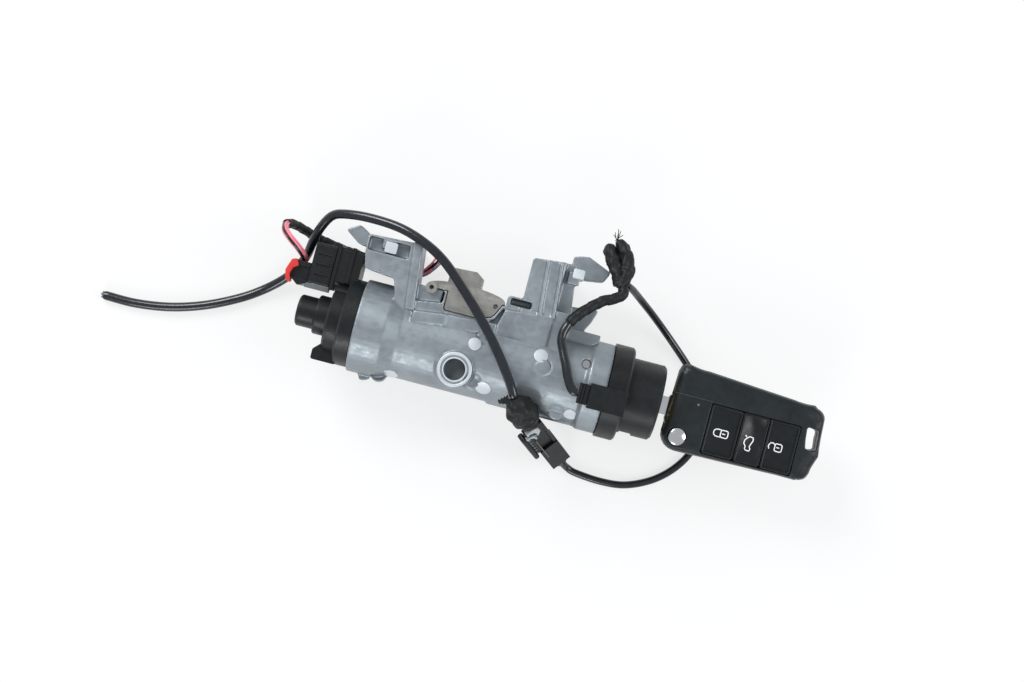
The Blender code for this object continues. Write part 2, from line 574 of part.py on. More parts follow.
def drive_shaft_mesh():
    """Shaft from the lock core to the switch, cast with the cam and with a flat tang at each end."""
    tang = 2.2 * MM
    back = BARREL_BACK - 4 * MM
    front = SLEEVE_BACK - FIT
    rod = turned([(back, 0), (back, SHAFT_RADIUS), (front, SHAFT_RADIUS), (front, 0)], 24)
    cam = prism(cam_outline(), BOLT_X - CAM_WIDTH / 2, BOLT_X + CAM_WIDTH / 2, "X")
    thrust = turned([(BOLT_X + CAM_WIDTH / 2 - 0.1 * MM, 0), (BOLT_X + CAM_WIDTH / 2 - 0.1 * MM, 5 * MM),
                     (BOLT_X + BOLT_WIDTH / 2, 5 * MM), (BOLT_X + BOLT_WIDTH / 2, 0)], 24)
    front_tang = box((front - 1 * MM, -tang, -1.2 * MM), (front + 4 * MM, tang, 1.2 * MM))
    back_tang = box((back - 5 * MM, -tang, -1.2 * MM), (back + 1 * MM, tang, 1.2 * MM))
    return join(rod, cam, thrust, front_tang, back_tang)


def sleeve_mesh():
    """Fixed outer sleeve of the lock cylinder, counterbored for the core's rim and notched for its pin."""
    ring = turned([(SLEEVE_BACK, CORE_RADIUS + FIT), (SLEEVE_BACK, SLEEVE_RADIUS), (SLEEVE_FRONT, SLEEVE_RADIUS),
                   (SLEEVE_FRONT, CORE_RIM + FIT), (SLEEVE_FRONT - CORE_RIM_LENGTH - 2 * FIT, CORE_RIM + FIT),
                   (SLEEVE_FRONT - CORE_RIM_LENGTH - 2 * FIT, CORE_RADIUS + FIT)], 32)
    notch = disc(PIN_PLACE, PIN_RADIUS + FIT, 2.6 * MM, 20 * MM, 16)
    return cut(ring, notch)


def wafer_places():
    """Middle of each wafer along the lock cylinder, counted back from the key hole."""
    first = SLEEVE_FRONT - CORE_RIM_LENGTH - 3.4 * MM
    return [first - WAFER_PITCH * index for index in range(WAFER_COUNT)]


def keyway(low, high, gap=KEYWAY_GAP):
    """The slot that the blade slides in."""
    return box((low, -BLADE_WIDTH / 2 - gap, -BLADE_THICKNESS / 2 - gap),
               (high, BLADE_WIDTH / 2 + gap, BLADE_THICKNESS / 2 + gap))


def core_mesh():
    """Turning core of the lock: rim at the key hole, keyway, one slot for each wafer, socket for the shaft."""
    back = SLEEVE_BACK + FIT
    front = SLEEVE_FRONT - FIT
    core = turned([(back, 0), (back, CORE_RADIUS), (front - CORE_RIM_LENGTH, CORE_RADIUS),
                   (front - CORE_RIM_LENGTH, CORE_RIM), (front - 0.5 * MM, CORE_RIM), (front, CORE_RIM - 0.5 * MM),
                   (front, 0)], 32)
    tip = front - BLADE_LENGTH
    slots = [box((x - WAFER_THICKNESS / 2 - 0.2 * MM, -10 * MM, -WAFER_HALF_HEIGHT - 0.2 * MM),
                 (x + WAFER_THICKNESS / 2 + 0.2 * MM, 10 * MM, WAFER_HALF_HEIGHT + 0.2 * MM))
             for x in wafer_places()]
    socket = box((back - 1 * MM, -2.2 * MM - FIT, -1.2 * MM - FIT), (back + 5 * MM, 2.2 * MM + FIT, 1.2 * MM + FIT))
    return cut(core, keyway(tip - 1.5 * MM, front + 1 * MM), socket, *slots)


def wafer_mesh(x, index):
    """One locking wafer: a thin plate around the blade, with its window a little off the middle."""
    reach = math.sqrt(CORE_RADIUS ** 2 - WAFER_HALF_HEIGHT ** 2) - 0.25 * MM
    plate = prism(rounded([(-reach, -WAFER_HALF_HEIGHT, 0.8 * MM), (reach, -WAFER_HALF_HEIGHT, 0.8 * MM),
                           (reach, WAFER_HALF_HEIGHT, 0.8 * MM), (-reach, WAFER_HALF_HEIGHT, 0.8 * MM)], 2),
                  x - WAFER_THICKNESS / 2, x + WAFER_THICKNESS / 2, "X")
    return cut(plate, keyway(x - 2 * MM, x + 2 * MM, KEYWAY_GAP + 0.1 * MM * (index % 2)))


def coil_case_mesh():
    """Reader coil's moulded ring over the lock's nose, with the winding's groove and the plug's socket."""
    back = BARREL_FRONT + FIT
    step = back + COIL_FLANGE_LENGTH
    bore = SLEEVE_RADIUS + FIT
    groove_end = back + WINDING_LENGTH + 2 * FIT
    ring = turned([(back, bore), (back, WINDING_INNER - FIT), (groove_end, WINDING_INNER - FIT),
                   (groove_end, WINDING_OUTER + FIT), (back, WINDING_OUTER + FIT), (back, COIL_FLANGE_RADIUS),
                   (step - 1 * MM, COIL_FLANGE_RADIUS), (step, COIL_FLANGE_RADIUS - 1 * MM), (step, COIL_NOSE_RADIUS),
                   (COIL_FRONT - 1.2 * MM, COIL_NOSE_RADIUS), (COIL_FRONT, COIL_NOSE_RADIUS - 1.2 * MM),
                   (COIL_FRONT, bore)], 48)
    socket = box((COIL_SOCKET_X[0], COIL_PLUG_Y - 6 * MM, COLLAR_RADIUS + FIT), (step, COIL_PLUG_Y + 6 * MM, 29.2 * MM))
    bed = box((back + 0.5 * MM, COIL_PLUG_Y - 6 * MM, 18.4 * MM), (step - 0.2 * MM, COIL_PLUG_Y + 6 * MM, 28 * MM))
    hollow = box((COIL_SOCKET_X[0] - 1 * MM, COIL_PLUG_Y - 4.6 * MM, COLLAR_RADIUS + 1.7 * MM),
                 (COIL_SOCKET_X[1], COIL_PLUG_Y + 4.6 * MM, 27.8 * MM))
    notch = box((step + 1.6 * MM, -20 * MM, -6 * MM), (step + 8 * MM, -16.8 * MM, 6 * MM))
    return cut(join(ring, join(socket, bed)), hollow, notch)


def coil_plug_mesh():
    """Small plug of the coil's lead: a nose inside the socket and a ribbed grip outside it."""
    low = COLLAR_RADIUS + 2.1 * MM
    nose = box((COIL_SOCKET_X[0] - 0.4 * MM, COIL_PLUG_Y - 4.2 * MM, low), (COIL_SOCKET_X[1] - 0.8 * MM, COIL_PLUG_Y + 4.2 * MM, 27.4 * MM))
    grip = box((COIL_SOCKET_X[0] - 5.2 * MM, COIL_PLUG_Y - 5 * MM, low - 0.6 * MM),
               (COIL_SOCKET_X[0] - FIT, COIL_PLUG_Y + 5 * MM, 28.4 * MM))
    grooves = [box((COIL_SOCKET_X[0] - 4.2 * MM + step * 1.4 * MM, COIL_PLUG_Y - 6 * MM, 27.7 * MM),
                   (COIL_SOCKET_X[0] - 3.5 * MM + step * 1.4 * MM, COIL_PLUG_Y + 6 * MM, 30 * MM)) for step in range(2)]
    return cut(join(nose, grip), *grooves)


def switch_body_mesh():
    """Switch housing: flange on the lock, drum behind it and the socket for the main plug, hollow for the rotor."""
    front = BARREL_BACK - FIT
    step = front - SWITCH_FLANGE
    back = front - SWITCH_LENGTH
    drum = turned([(back, 0), (back, SWITCH_DRUM_RADIUS - 1 * MM), (back + 1 * MM, SWITCH_DRUM_RADIUS),
                   (step, SWITCH_DRUM_RADIUS), (step, SWITCH_RADIUS - 1 * MM), (step + 1 * MM, SWITCH_RADIUS),
                   (front, SWITCH_RADIUS), (front, 0)], 40)
    ear = prism(rounded([(back - 3.6 * MM, -21.6 * MM, 1 * MM), (step + 2 * MM, -21.6 * MM, 1 * MM),
                         (step + 3 * MM, -9 * MM, 0), (back + 4 * MM, -9 * MM, 0), (back - 3.6 * MM, -16.6 * MM, 1 * MM)]),
                -6 * MM, 6 * MM)
    block = prism(rounded([(PLUG_Y[0], PLUG_Z[0], 1.5 * MM), (PLUG_Y[1] + 1 * MM, PLUG_Z[0], 1.5 * MM),
                           (PLUG_Y[1] + 1 * MM, PLUG_Z[1], 1.5 * MM), (PLUG_Y[0], PLUG_Z[1], 1.5 * MM)]),
                  SOCKET_BACK, SOCKET_FRONT, "X")
    ribs = [box((SOCKET_BACK + offset, PLUG_Y[0] - 0.6 * MM, PLUG_Z[0] - 0.6 * MM),
                (SOCKET_BACK + offset + 1.6 * MM, PLUG_Y[1] + 1.8 * MM, PLUG_Z[1] + 0.8 * MM))
            for offset in (0.0, 7 * MM)]
    body = join(drum, ear, block, *ribs)
    socket = box((SOCKET_BACK - 1 * MM, PLUG_Y[0] + PLUG_WALL, PLUG_Z[0] + PLUG_WALL),
                 (SOCKET_FRONT - PLUG_WALL, PLUG_Y[1] + 1 * MM - PLUG_WALL, PLUG_Z[1] - PLUG_WALL))
    chamber = turned([(back + 2.4 * MM, 0), (back + 2.4 * MM, ROTOR_RADIUS + FIT), (front + 1 * MM, ROTOR_RADIUS + FIT),
                      (front + 1 * MM, 0)], 32)
    neck = turned([(back - 1 * MM, 0), (back - 1 * MM, 5 * MM), (back + 3 * MM, 5 * MM), (back + 3 * MM, 0)], 24)
    holes = [turned([(step - 8 * MM, 0), (step - 8 * MM, 3.2 * MM), (front - 3 * MM, 3.2 * MM), (front - 3 * MM, 1.8 * MM),
                     (front + 1 * MM, 1.8 * MM), (front + 1 * MM, 0)], 16, centre=place) for place in screw_places()]
    return cut(body, socket, chamber, neck, *holes)


def switch_cap_mesh():
    """Stepped cap behind the switch, hollow over the rotor's tail."""
    front = BARREL_BACK - FIT - SWITCH_LENGTH - FIT
    step = front - CAP_BASE_LENGTH
    back = step - CAP_TIP_LENGTH
    return turned([(back, 0), (back, CAP_TIP_RADIUS - 1 * MM), (back + 1 * MM, CAP_TIP_RADIUS), (step, CAP_TIP_RADIUS),
                   (step, CAP_BASE_RADIUS - 0.6 * MM), (step + 0.6 * MM, CAP_BASE_RADIUS), (front, CAP_BASE_RADIUS),
                   (front, 5.4 * MM), (step, 5.4 * MM), (step, 3.4 * MM), (back + 2 * MM, 3.4 * MM),
                   (back + 2 * MM, 0)], 40)


def switch_rotor_mesh():
    """Contact carrier that the drive shaft turns, with three contact bridges and a tail into the cap."""
    front = BARREL_BACK - FIT - 0.6 * MM
    back = front - ROTOR_LENGTH
    rotor = turned([(back - 7.4 * MM, 0), (back - 7.4 * MM, 2.8 * MM), (back - 1 * MM, 2.8 * MM), (back - 1 * MM, 4.6 * MM),
                    (back, 4.6 * MM), (back, ROTOR_RADIUS), (front, ROTOR_RADIUS), (front, 0)], 32)
    tang = box((BARREL_BACK - 9 * MM - FIT, -2.2 * MM - FIT, -1.2 * MM - FIT),
               (front + 1 * MM, 2.2 * MM + FIT, 1.2 * MM + FIT))
    collar = turned([(BARREL_BACK - 4 * MM - FIT, 0), (BARREL_BACK - 4 * MM - FIT, SHAFT_RADIUS + FIT),
                     (front + 1 * MM, SHAFT_RADIUS + FIT), (front + 1 * MM, 0)], 20)
    tracks = [box((back - 1 * MM, 8.0 * MM * math.cos(turn) - 1.6 * MM, 8.0 * MM * math.sin(turn) - 1.6 * MM),
                  (back + 1.4 * MM, 8.0 * MM * math.cos(turn) + 1.6 * MM, 8.0 * MM * math.sin(turn) + 1.6 * MM))
              for turn in (0.4, 2.5, 4.6)]
    return cut(rotor, tang, collar, *tracks)


def screw_mesh(place):
    """One switch screw: round head in its counterbore and a plain shank into the casting."""
    seat = BARREL_BACK - FIT - 3 * MM - FIT
    end = BARREL_BACK + 8 * MM
    return turned([(seat - 2.2 * MM, 0), (seat - 2.2 * MM, 2.2 * MM), (seat - 1.4 * MM, 2.8 * MM), (seat, 2.8 * MM),
                   (seat, 1.3 * MM), (end, 1.3 * MM), (end, 0)], 12, centre=place)


def main_plug_mesh():
    """Main plug's body behind the socket and its nose inside."""
    body = prism(rounded([(PLUG_Y[0] + 0.4 * MM, PLUG_Z[0] + 0.4 * MM, 1.2 * MM),
                          (PLUG_Y[1] + 0.4 * MM, PLUG_Z[0] + 0.4 * MM, 1.2 * MM),
                          (PLUG_Y[1] + 0.4 * MM, PLUG_Z[1] - 0.4 * MM, 1.2 * MM),
                          (PLUG_Y[0] + 0.4 * MM, PLUG_Z[1] - 0.4 * MM, 1.2 * MM)]),
                 PLUG_BACK, SOCKET_BACK - FIT, "X")
    gap = PLUG_WALL + FIT
    nose = box((SOCKET_BACK - 1 * MM, PLUG_Y[0] + gap, PLUG_Z[0] + gap),
               (SOCKET_FRONT - PLUG_WALL - 1 * MM, PLUG_Y[1] + 1 * MM - gap, PLUG_Z[1] - gap))
    grooves = [box((PLUG_BACK + 2 * MM, y - 0.5 * MM, PLUG_Z[1] - 1.2 * MM), (SOCKET_BACK - 2 * MM, y + 0.5 * MM, PLUG_Z[1]))
               for y in (PLUG_Y[0] + 5 * MM, PLUG_Y[0] + 10 * MM, PLUG_Y[0] + 15 * MM)]
    return cut(join(body, nose), *grooves)


def plug_cover_mesh():
    """Wire cover on the back of the main plug, open at its far side where the wires come out."""
    cover = prism(rounded([(PLUG_CAP_BACK, PLUG_CAP_Y[0] + 4 * MM, 1.5 * MM), (PLUG_CAP_BACK + 5 * MM, PLUG_CAP_Y[0], 1 * MM),
                           (PLUG_BACK - FIT, PLUG_CAP_Y[0] + 2 * MM, 0), (PLUG_BACK - FIT, PLUG_CAP_Y[1], 0),
                           (PLUG_CAP_BACK + 1 * MM, PLUG_CAP_Y[1], 1.5 * MM)]), PLUG_Z[0] + 1 * MM, PLUG_Z[1] - 1 * MM)
    hollow = box((PLUG_CAP_BACK + 2.4 * MM, PLUG_CAP_Y[0] + 6 * MM, PLUG_Z[0] + 3 * MM),
                 (PLUG_BACK - 2 * MM, PLUG_CAP_Y[1] + 1 * MM, PLUG_Z[1] - 3 * MM))
    rail = box((PLUG_CAP_BACK - 0.3 * MM, PLUG_CAP_Y[0] + 3.4 * MM, PLUG_Z[1] - 2.2 * MM),
               (PLUG_BACK + 1 * MM, PLUG_CAP_Y[0] + 9.8 * MM, PLUG_Z[1]))
    return cut(cover, hollow, rail)


def plug_lock_mesh():
    """Red locking slide of the main plug, curved round the cover's corner."""
    low = PLUG_Z[1] - 2.2 * MM + FIT
    outline = rounded([(PLUG_CAP_BACK - 1.2 * MM, PLUG_CAP_Y[0] + 4 * MM, 1 * MM),
                       (PLUG_BACK - 4 * MM, PLUG_CAP_Y[0] + 4 * MM, 1 * MM),
                       (PLUG_BACK - 4 * MM, PLUG_CAP_Y[0] + 6.6 * MM, 0),
                       (PLUG_CAP_BACK + 3.2 * MM, PLUG_CAP_Y[0] + 9.2 * MM, 1 * MM),
                       (PLUG_CAP_BACK - 1.2 * MM, PLUG_CAP_Y[0] + 9.2 * MM, 1 * MM)])
    return prism(outline, low, PLUG_Z[1] + 0.8 * MM)


def fob_outline(inset=0.0):
    """Outline of the fob: nearly square at the hinge end, tapering to the key ring end."""
    corners = [(FOB_BACK + 2.4 * MM + inset, 22.6 * MM - inset, 4 * MM),
               (FOB_FRONT - 5.8 * MM - inset, 18.0 * MM - inset, 4 * MM),
               (FOB_FRONT - inset, 13.6 * MM - inset, 2 * MM), (FOB_FRONT - 1.5 * MM - inset, -5 * MM, 1 * MM),
               (FOB_FRONT - 5 * MM - inset, -19.0 * MM + inset, 3 * MM),
               (FOB_BACK + inset, -20.6 * MM + inset, 8 * MM)]
    return rounded(corners, 5)


def loft(levels):
    """A solid through outlines of equally many points at rising heights."""
    bm = bmesh.new()
    rings = [[bm.verts.new((a, b, height)) for a, b in outline] for height, outline in levels]
    bm.faces.new(rings[0])
    bm.faces.new(rings[-1])
    for near, far in zip(rings, rings[1:]):
        for step in range(len(near)):
            after = (step + 1) % len(near)
            bm.faces.new((near[step], near[after], far[after], far[step]))
    return to_mesh(bm)


def button_spans():
    """Name and both ends along X of each button, side by side."""
    low = BUTTONS_START
    for name, width in BUTTON_WIDTHS:
        yield name, low, low + width
        low += width + BUTTON_GAP


def fob_shell(side):
    """Upper or lower shell of the fob, hollow for the electronics and slotted for the folding blade."""
    levels = [(side * FIT / 2, 0.5 * MM), (side * 3.4 * MM, 0.0), (side * 6.2 * MM, 0.8 * MM),
              (side * 7.4 * MM, 2.2 * MM), (side * FOB_HALF, 4.4 * MM)]
    shell = loft([(height, fob_outline(inset)) for height, inset in levels])
    sector = [PIVOT] + ring_points(PIVOT, POCKET_RADIUS, 17, math.radians(58), math.radians(214))
    pocket = rounded([(POCKET_BACK, -17.4 * MM, 2 * MM), (POCKET_FRONT, -16.8 * MM, 2 * MM),
                      (POCKET_FRONT, 13.6 * MM, 2 * MM), (POCKET_BACK, 15 * MM, 2 * MM)])
    ring_slot = rounded([(FOB_FRONT - 8 * MM, 7.7 * MM, 1 * MM), (FOB_FRONT - 2.2 * MM, 6.9 * MM, 1 * MM),
                         (FOB_FRONT - 2.8 * MM, -2.6 * MM, 1 * MM), (FOB_FRONT - 7 * MM, -3.6 * MM, 1 * MM)], 3)
    tools = [prism(sector, -HUB_HALF - FIT, HUB_HALF + FIT),
             disc(PIVOT, HUB_RADIUS + FIT, -HUB_HALF - FIT, HUB_HALF + FIT, 28),
             prism(pocket, CELL_Z[0] - FIT, FOB_HALF - 2.7 * MM), prism(ring_slot, -10 * MM, 10 * MM)]
    if side > 0:
        last = list(button_spans())[-1][2]
        tools.append(disc(PIVOT, RELEASE_RADIUS + FIT, 0, 10 * MM, 24))
        tools.append(box((BUTTONS_START - FIT, BUTTON_Y[0] - FIT, 0), (last + FIT, BUTTON_Y[1] + FIT, 10 * MM)))
    else:
        tools.append(disc(PIVOT, SPRING_OUTER + FIT, -FOB_HALF + FOB_WALL - 0.2 * MM, 0, 24))
    return cut(shell, *tools)


def hub_mesh():
    """Hub that holds the blade and turns in the fob, with a dish for the release button and a pivot stub."""
    x = PIVOT[0]
    neck = rounded([(x - 6.5 * MM, -10 * MM, 0), (x + 3.5 * MM, -10 * MM, 0), (x + 2.9 * MM, 5.8 * MM, 2 * MM),
                    (x - 7.7 * MM, 6.4 * MM, 2 * MM), (x - 7.7 * MM, -6 * MM, 1 * MM)])
    hub = join(disc(PIVOT, HUB_RADIUS, -HUB_HALF, HUB_HALF, 28), prism(neck, -HUB_HALF, HUB_HALF),
               disc(PIVOT, SPRING_INNER - FIT, -FOB_HALF + FOB_WALL + FIT, 0, 16))
    dish = disc(PIVOT, RELEASE_RADIUS + 2 * FIT, 0.4 * MM, 4 * MM, 24)
    return cut(hub, dish, keyway(x - 14.1 * MM, x - 1.8 * MM, FIT))


def blade_mesh():
    """Key blade with its chamfered tip, a milled track along each face and its root in the hub."""
    tip = SLEEVE_FRONT - FIT - BLADE_LENGTH
    root = PIVOT[0] - 2.1 * MM
    half = BLADE_WIDTH / 2
    blade = prism([(tip, -1.4 * MM), (tip + 3.2 * MM, -half), (root, -half), (root, half), (tip + 3.2 * MM, half),
                   (tip, 1.4 * MM)], -BLADE_THICKNESS / 2, BLADE_THICKNESS / 2)
    waves = [1.1, 0.4, 1.5, 0.8, 1.6, 0.5, 1.2, 0.9]
    track = [(x, (wave - 0.4) * MM + 0.8 * MM) for x, wave in zip(wafer_places(), waves)][::-1]
    outline = [(tip - 1 * MM, -1.5 * MM), (root - 14 * MM, -1.5 * MM), (root - 14 * MM, 1.2 * MM)] + track[::-1]
    outline += [(tip - 1 * MM, 2.2 * MM)]
    faces = [prism(outline, 0.7 * MM, 3 * MM), prism([(x, -y) for x, y in outline], -3 * MM, -0.7 * MM)]
    return cut(blade, *faces)


def fob_buttons(material, parent):
    """Three push buttons side by side, each on its own slide."""
    for name, low, high in button_spans():
        middle = ((low + high) / 2, (BUTTON_Y[0] + BUTTON_Y[1]) / 2, 6.4 * MM)
        outline = [(low, BUTTON_Y[0], 1.2 * MM), (high, BUTTON_Y[0], 1.2 * MM), (high, BUTTON_Y[1], 1.2 * MM),
                   (low, BUTTON_Y[1], 1.2 * MM)]
        inner = [(a + math.copysign(BUTTON_CHAMFER, middle[0] - a), b + math.copysign(BUTTON_CHAMFER, middle[1] - b), c)
                 for a, b, c in outline]
        mesh = loft([(BUTTON_LOW, rounded(outline, 3)), (BUTTON_TOP - 0.6 * MM, rounded(outline, 3)),
                     (BUTTON_TOP, rounded(inner, 3))])
        link(name, mesh, material, middle, parent)


def inline_frame():
    """Frame of the inline connector: X runs down along it, from the taped boot off the barrel to the table."""
    start = Vector(INLINE_START) * MM
    along = (Vector(INLINE_END) * MM - start).normalized()
    side = Vector((0, 0, 1)).cross(along).normalized()
    up = along.cross(side)
    return Matrix.Translation(start) @ Matrix((along, side, up)).transposed().to_4x4()


INLINE_START = (38.4, -20.6, 19.6)
INLINE_END = (66.0, -42.4, -26.0)


def boot_mesh(frame):
    """Taped boot that turns the main lead down into the connector: circles swept along a bent path."""
    start = Vector(BOOT_START) * MM
    end = frame @ Vector((BOOT_END, 0, 0))
    bend = frame @ Vector((BOOT_BEND, 0, 0))
    bm = bmesh.new()
    rings = []
    count = len(BOOT_RADII)
    for index, radius in enumerate(BOOT_RADII):
        u = index / (count - 1)
        place = start * (1 - u) ** 2 + bend * 2 * u * (1 - u) + end * u * u
        along = ((bend - start) * (1 - u) + (end - bend) * u).normalized()
        turn = Vector((1, 0, 0)).rotation_difference(along).to_matrix()
        rings.append([bm.verts.new(place + turn @ Vector((0, radius * MM * a, radius * MM * b)))
                      for a, b in ring_points((0, 0), 1.0, 20)])
    bm.faces.new(rings[0])
    bm.faces.new(rings[-1])
    for near, far in zip(rings, rings[1:]):
        for step in range(20):
            after = (step + 1) % 20
            bm.faces.new((near[step], near[after], far[after], far[step]))
    return to_mesh(bm)


BOOT_START = (32.6, -14.2, 26.2)
BOOT_BEND = -6.1 * MM            # where the two straight lines of its path would meet
BOOT_END = 9.4 * MM              # along the connector, just before its socket half
BOOT_RADII = (2.8, 4.2, 5.6, 6.5, 6.9, 6.8, 6.2, 5.4, 4.8)


def inline_pieces(tape, plastic, latch, parent):
    """Inline connector of the lead: taped boot, socket half, plug half and its latch."""
    frame = inline_frame()
    length = (Vector(INLINE_END) - Vector(INLINE_START)).length * MM
    socket = join(box((9.7 * MM, -4.8 * MM, -4 * MM), (30 * MM, 4.8 * MM, 4 * MM)),
                  box((14 * MM, -6.2 * MM, -2.4 * MM), (24 * MM, -4 * MM, 2.4 * MM)))
    tray = box((15 * MM, -3.2 * MM, 2.9 * MM), (40 * MM, 3.2 * MM, 5 * MM))
    plug = join(box((30.3 * MM, -5.2 * MM, -4.4 * MM), (length - 9 * MM, 5.2 * MM, 4.4 * MM)),
                turned([(length - 10 * MM, 0), (length - 10 * MM, 4.2 * MM), (length - 5.4 * MM, 3.4 * MM),
                        (length - 3.4 * MM, 2.4 * MM), (length - 3.4 * MM, 0)], 16))
    catch = box((15.3 * MM, -2.8 * MM, 3.2 * MM), (29.4 * MM, 2.8 * MM, 5.6 * MM))
    link("taped_boot", boot_mesh(frame), tape, parent=parent)
    for name, mesh, material in (("inline_socket", cut(socket, tray), plastic), ("inline_plug", plug, plastic),
                                 ("inline_latch", catch, latch)):
        mesh.transform(frame)
        link(name, mesh, material, (0, 0, 0), parent)


def helix(name, centre, radius, low, high, turns, wire, material, parent, along="Z"):
    """A coil spring of round wire between two heights, its curve worked out turn by turn."""
    steps = 12
    count = int(turns * steps) + 1
    curve = bpy.data.curves.new(name, "CURVE")
    curve.dimensions = "3D"
    spline = curve.splines.new("POLY")
    spline.points.add(count - 1)
    for index, point in enumerate(spline.points):
        turn = 2 * math.pi * index / steps
        height = low + wire / 2 + (high - low - wire) * index / (count - 1)
        across = (centre[0] + radius * math.cos(turn), centre[1] + radius * math.sin(turn))
        place = (*across, height) if along == "Z" else (across[0], height, across[1])
        point.co = (*place, 1.0)
    curve.bevel_depth = wire / 2
    curve.bevel_resolution = 1
    curve.use_fill_caps = True
    curve.materials.append(material)
    piece = bpy.data.objects.new(name, curve)
    bpy.context.collection.objects.link(piece)
    piece.parent = parent
    return piece


MAIN_ROUTE = ((32.42, -13.95, 26.3), (31.9, -13.2, 26.6), (28.6, -7.6, 26.8), (19.5, 4.7, 24.6), (9.0, 16.6, 22.6),
              (-3.6, 29.2, 21.6), (-15.9, 39.9, 21.0), (-27.2, 46.2, 20.2), (-40.8, 50.4, 17.2), (-56.6, 51.6, 12.0),
              (-69.3, 50.6, 7.0), (-75.7, 48.3, 3.0), (-80.1, 41.9, -2.0), (-82.8, 34.6, -7.5), (-85.0, 26.6, -14.2),
              (-89.1, 19.4, -19.8), (-93.8, 13.2, -24.4), (-102.7, 5.3, -27.3), (-113.8, -2.3, -27.7),
              (-130.0, -10.3, -27.7), (-146.9, -15.7, -27.7), (-164.5, -18.3, -27.7), (-180.7, -18.3, -27.7))
LOOP_ROUTE = ((64.5, -41.2, -23.6), (65.4, -41.9, -25.0), (67.8, -43.3, -27.3), (72.4, -44.9, -28.15), (85.9, -45.9, -28.15),
              (98.6, -44.5, -28.15), (111.2, -38.6, -28.15), (120.9, -29.7, -28.15), (127.0, -18.8, -28.15),
              (129.1, -5.1, -28.15), (125.3, 9.6, -28.15), (115.7, 20.3, -27.9), (103.3, 31.2, -24.6),
              (91.0, 40.8, -17.0), (80.6, 47.8, -7.0), (75.8, 50.6, 0.4), (72.2, 51.9, 5.8))
COIL_ROUTE = ((61.0, -4.2, 26.3), (58.6, -4.0, 26.3), (55.2, 0.8, 25.6), (52.4, 7.2, 23.9), (49.2, 13.6, 21.6),
              (47.4, 19.4, 20.2), (48.6, 25.6, 19.4), (53.2, 32.6, 17.6), (61.6, 40.6, 14.8),
              (67.6, 43.8, 13.9), (70.9, 46.9, 12.95), (70.42, 49.9, 11.86))
PLUG_ROUTE = ((-83.2, 24.0, -1.0), (-84.6, 26.6, 2.4), (-87.8, 29.6, 5.8), (-92.2, 32.8, 6.5), (-96.0, 36.0, 3.0),
              (-97.4, 39.0, -5.0), (-95.2, 40.2, -12.0), (-90.5, 39.2, -18.5), (-82.9, 36.9, -24.0), (-71.1, 34.9, -26.6),
              (-54.9, 33.0, -27.0), (-38.8, 31.6, -27.0), (-28.4, 32.6, -26.4), (-23.6, 37.4, -25.4), (-20.4, 43.4, -24.2))
SPLICE_START = (70.2, 50.6, 11.6)
SPLICE_END = (63.4, 70.8, 3.6)
SLEEVE_SHARE = 0.52              # part of the coil's lead that runs in the plain sleeve, before the tape


def splice_mesh():
    """Taped, folded splice of the two leads: a thick lobe with rounded ends, along its own line."""
    start = Vector(SPLICE_START) * MM
    along = Vector(SPLICE_END) * MM - start
    length = along.length
    shape = turned([(0, 0), (0, 3.4 * MM), (3 * MM, 5.0 * MM), (9 * MM, 6.4 * MM), (15 * MM, 6.2 * MM),
                    (length - 2 * MM, 4.2 * MM), (length, 1.6 * MM), (length, 0)], 18)
    shape.transform(Matrix.Translation(start) @ along.to_track_quat("X", "Z").to_matrix().to_4x4())
    return shape


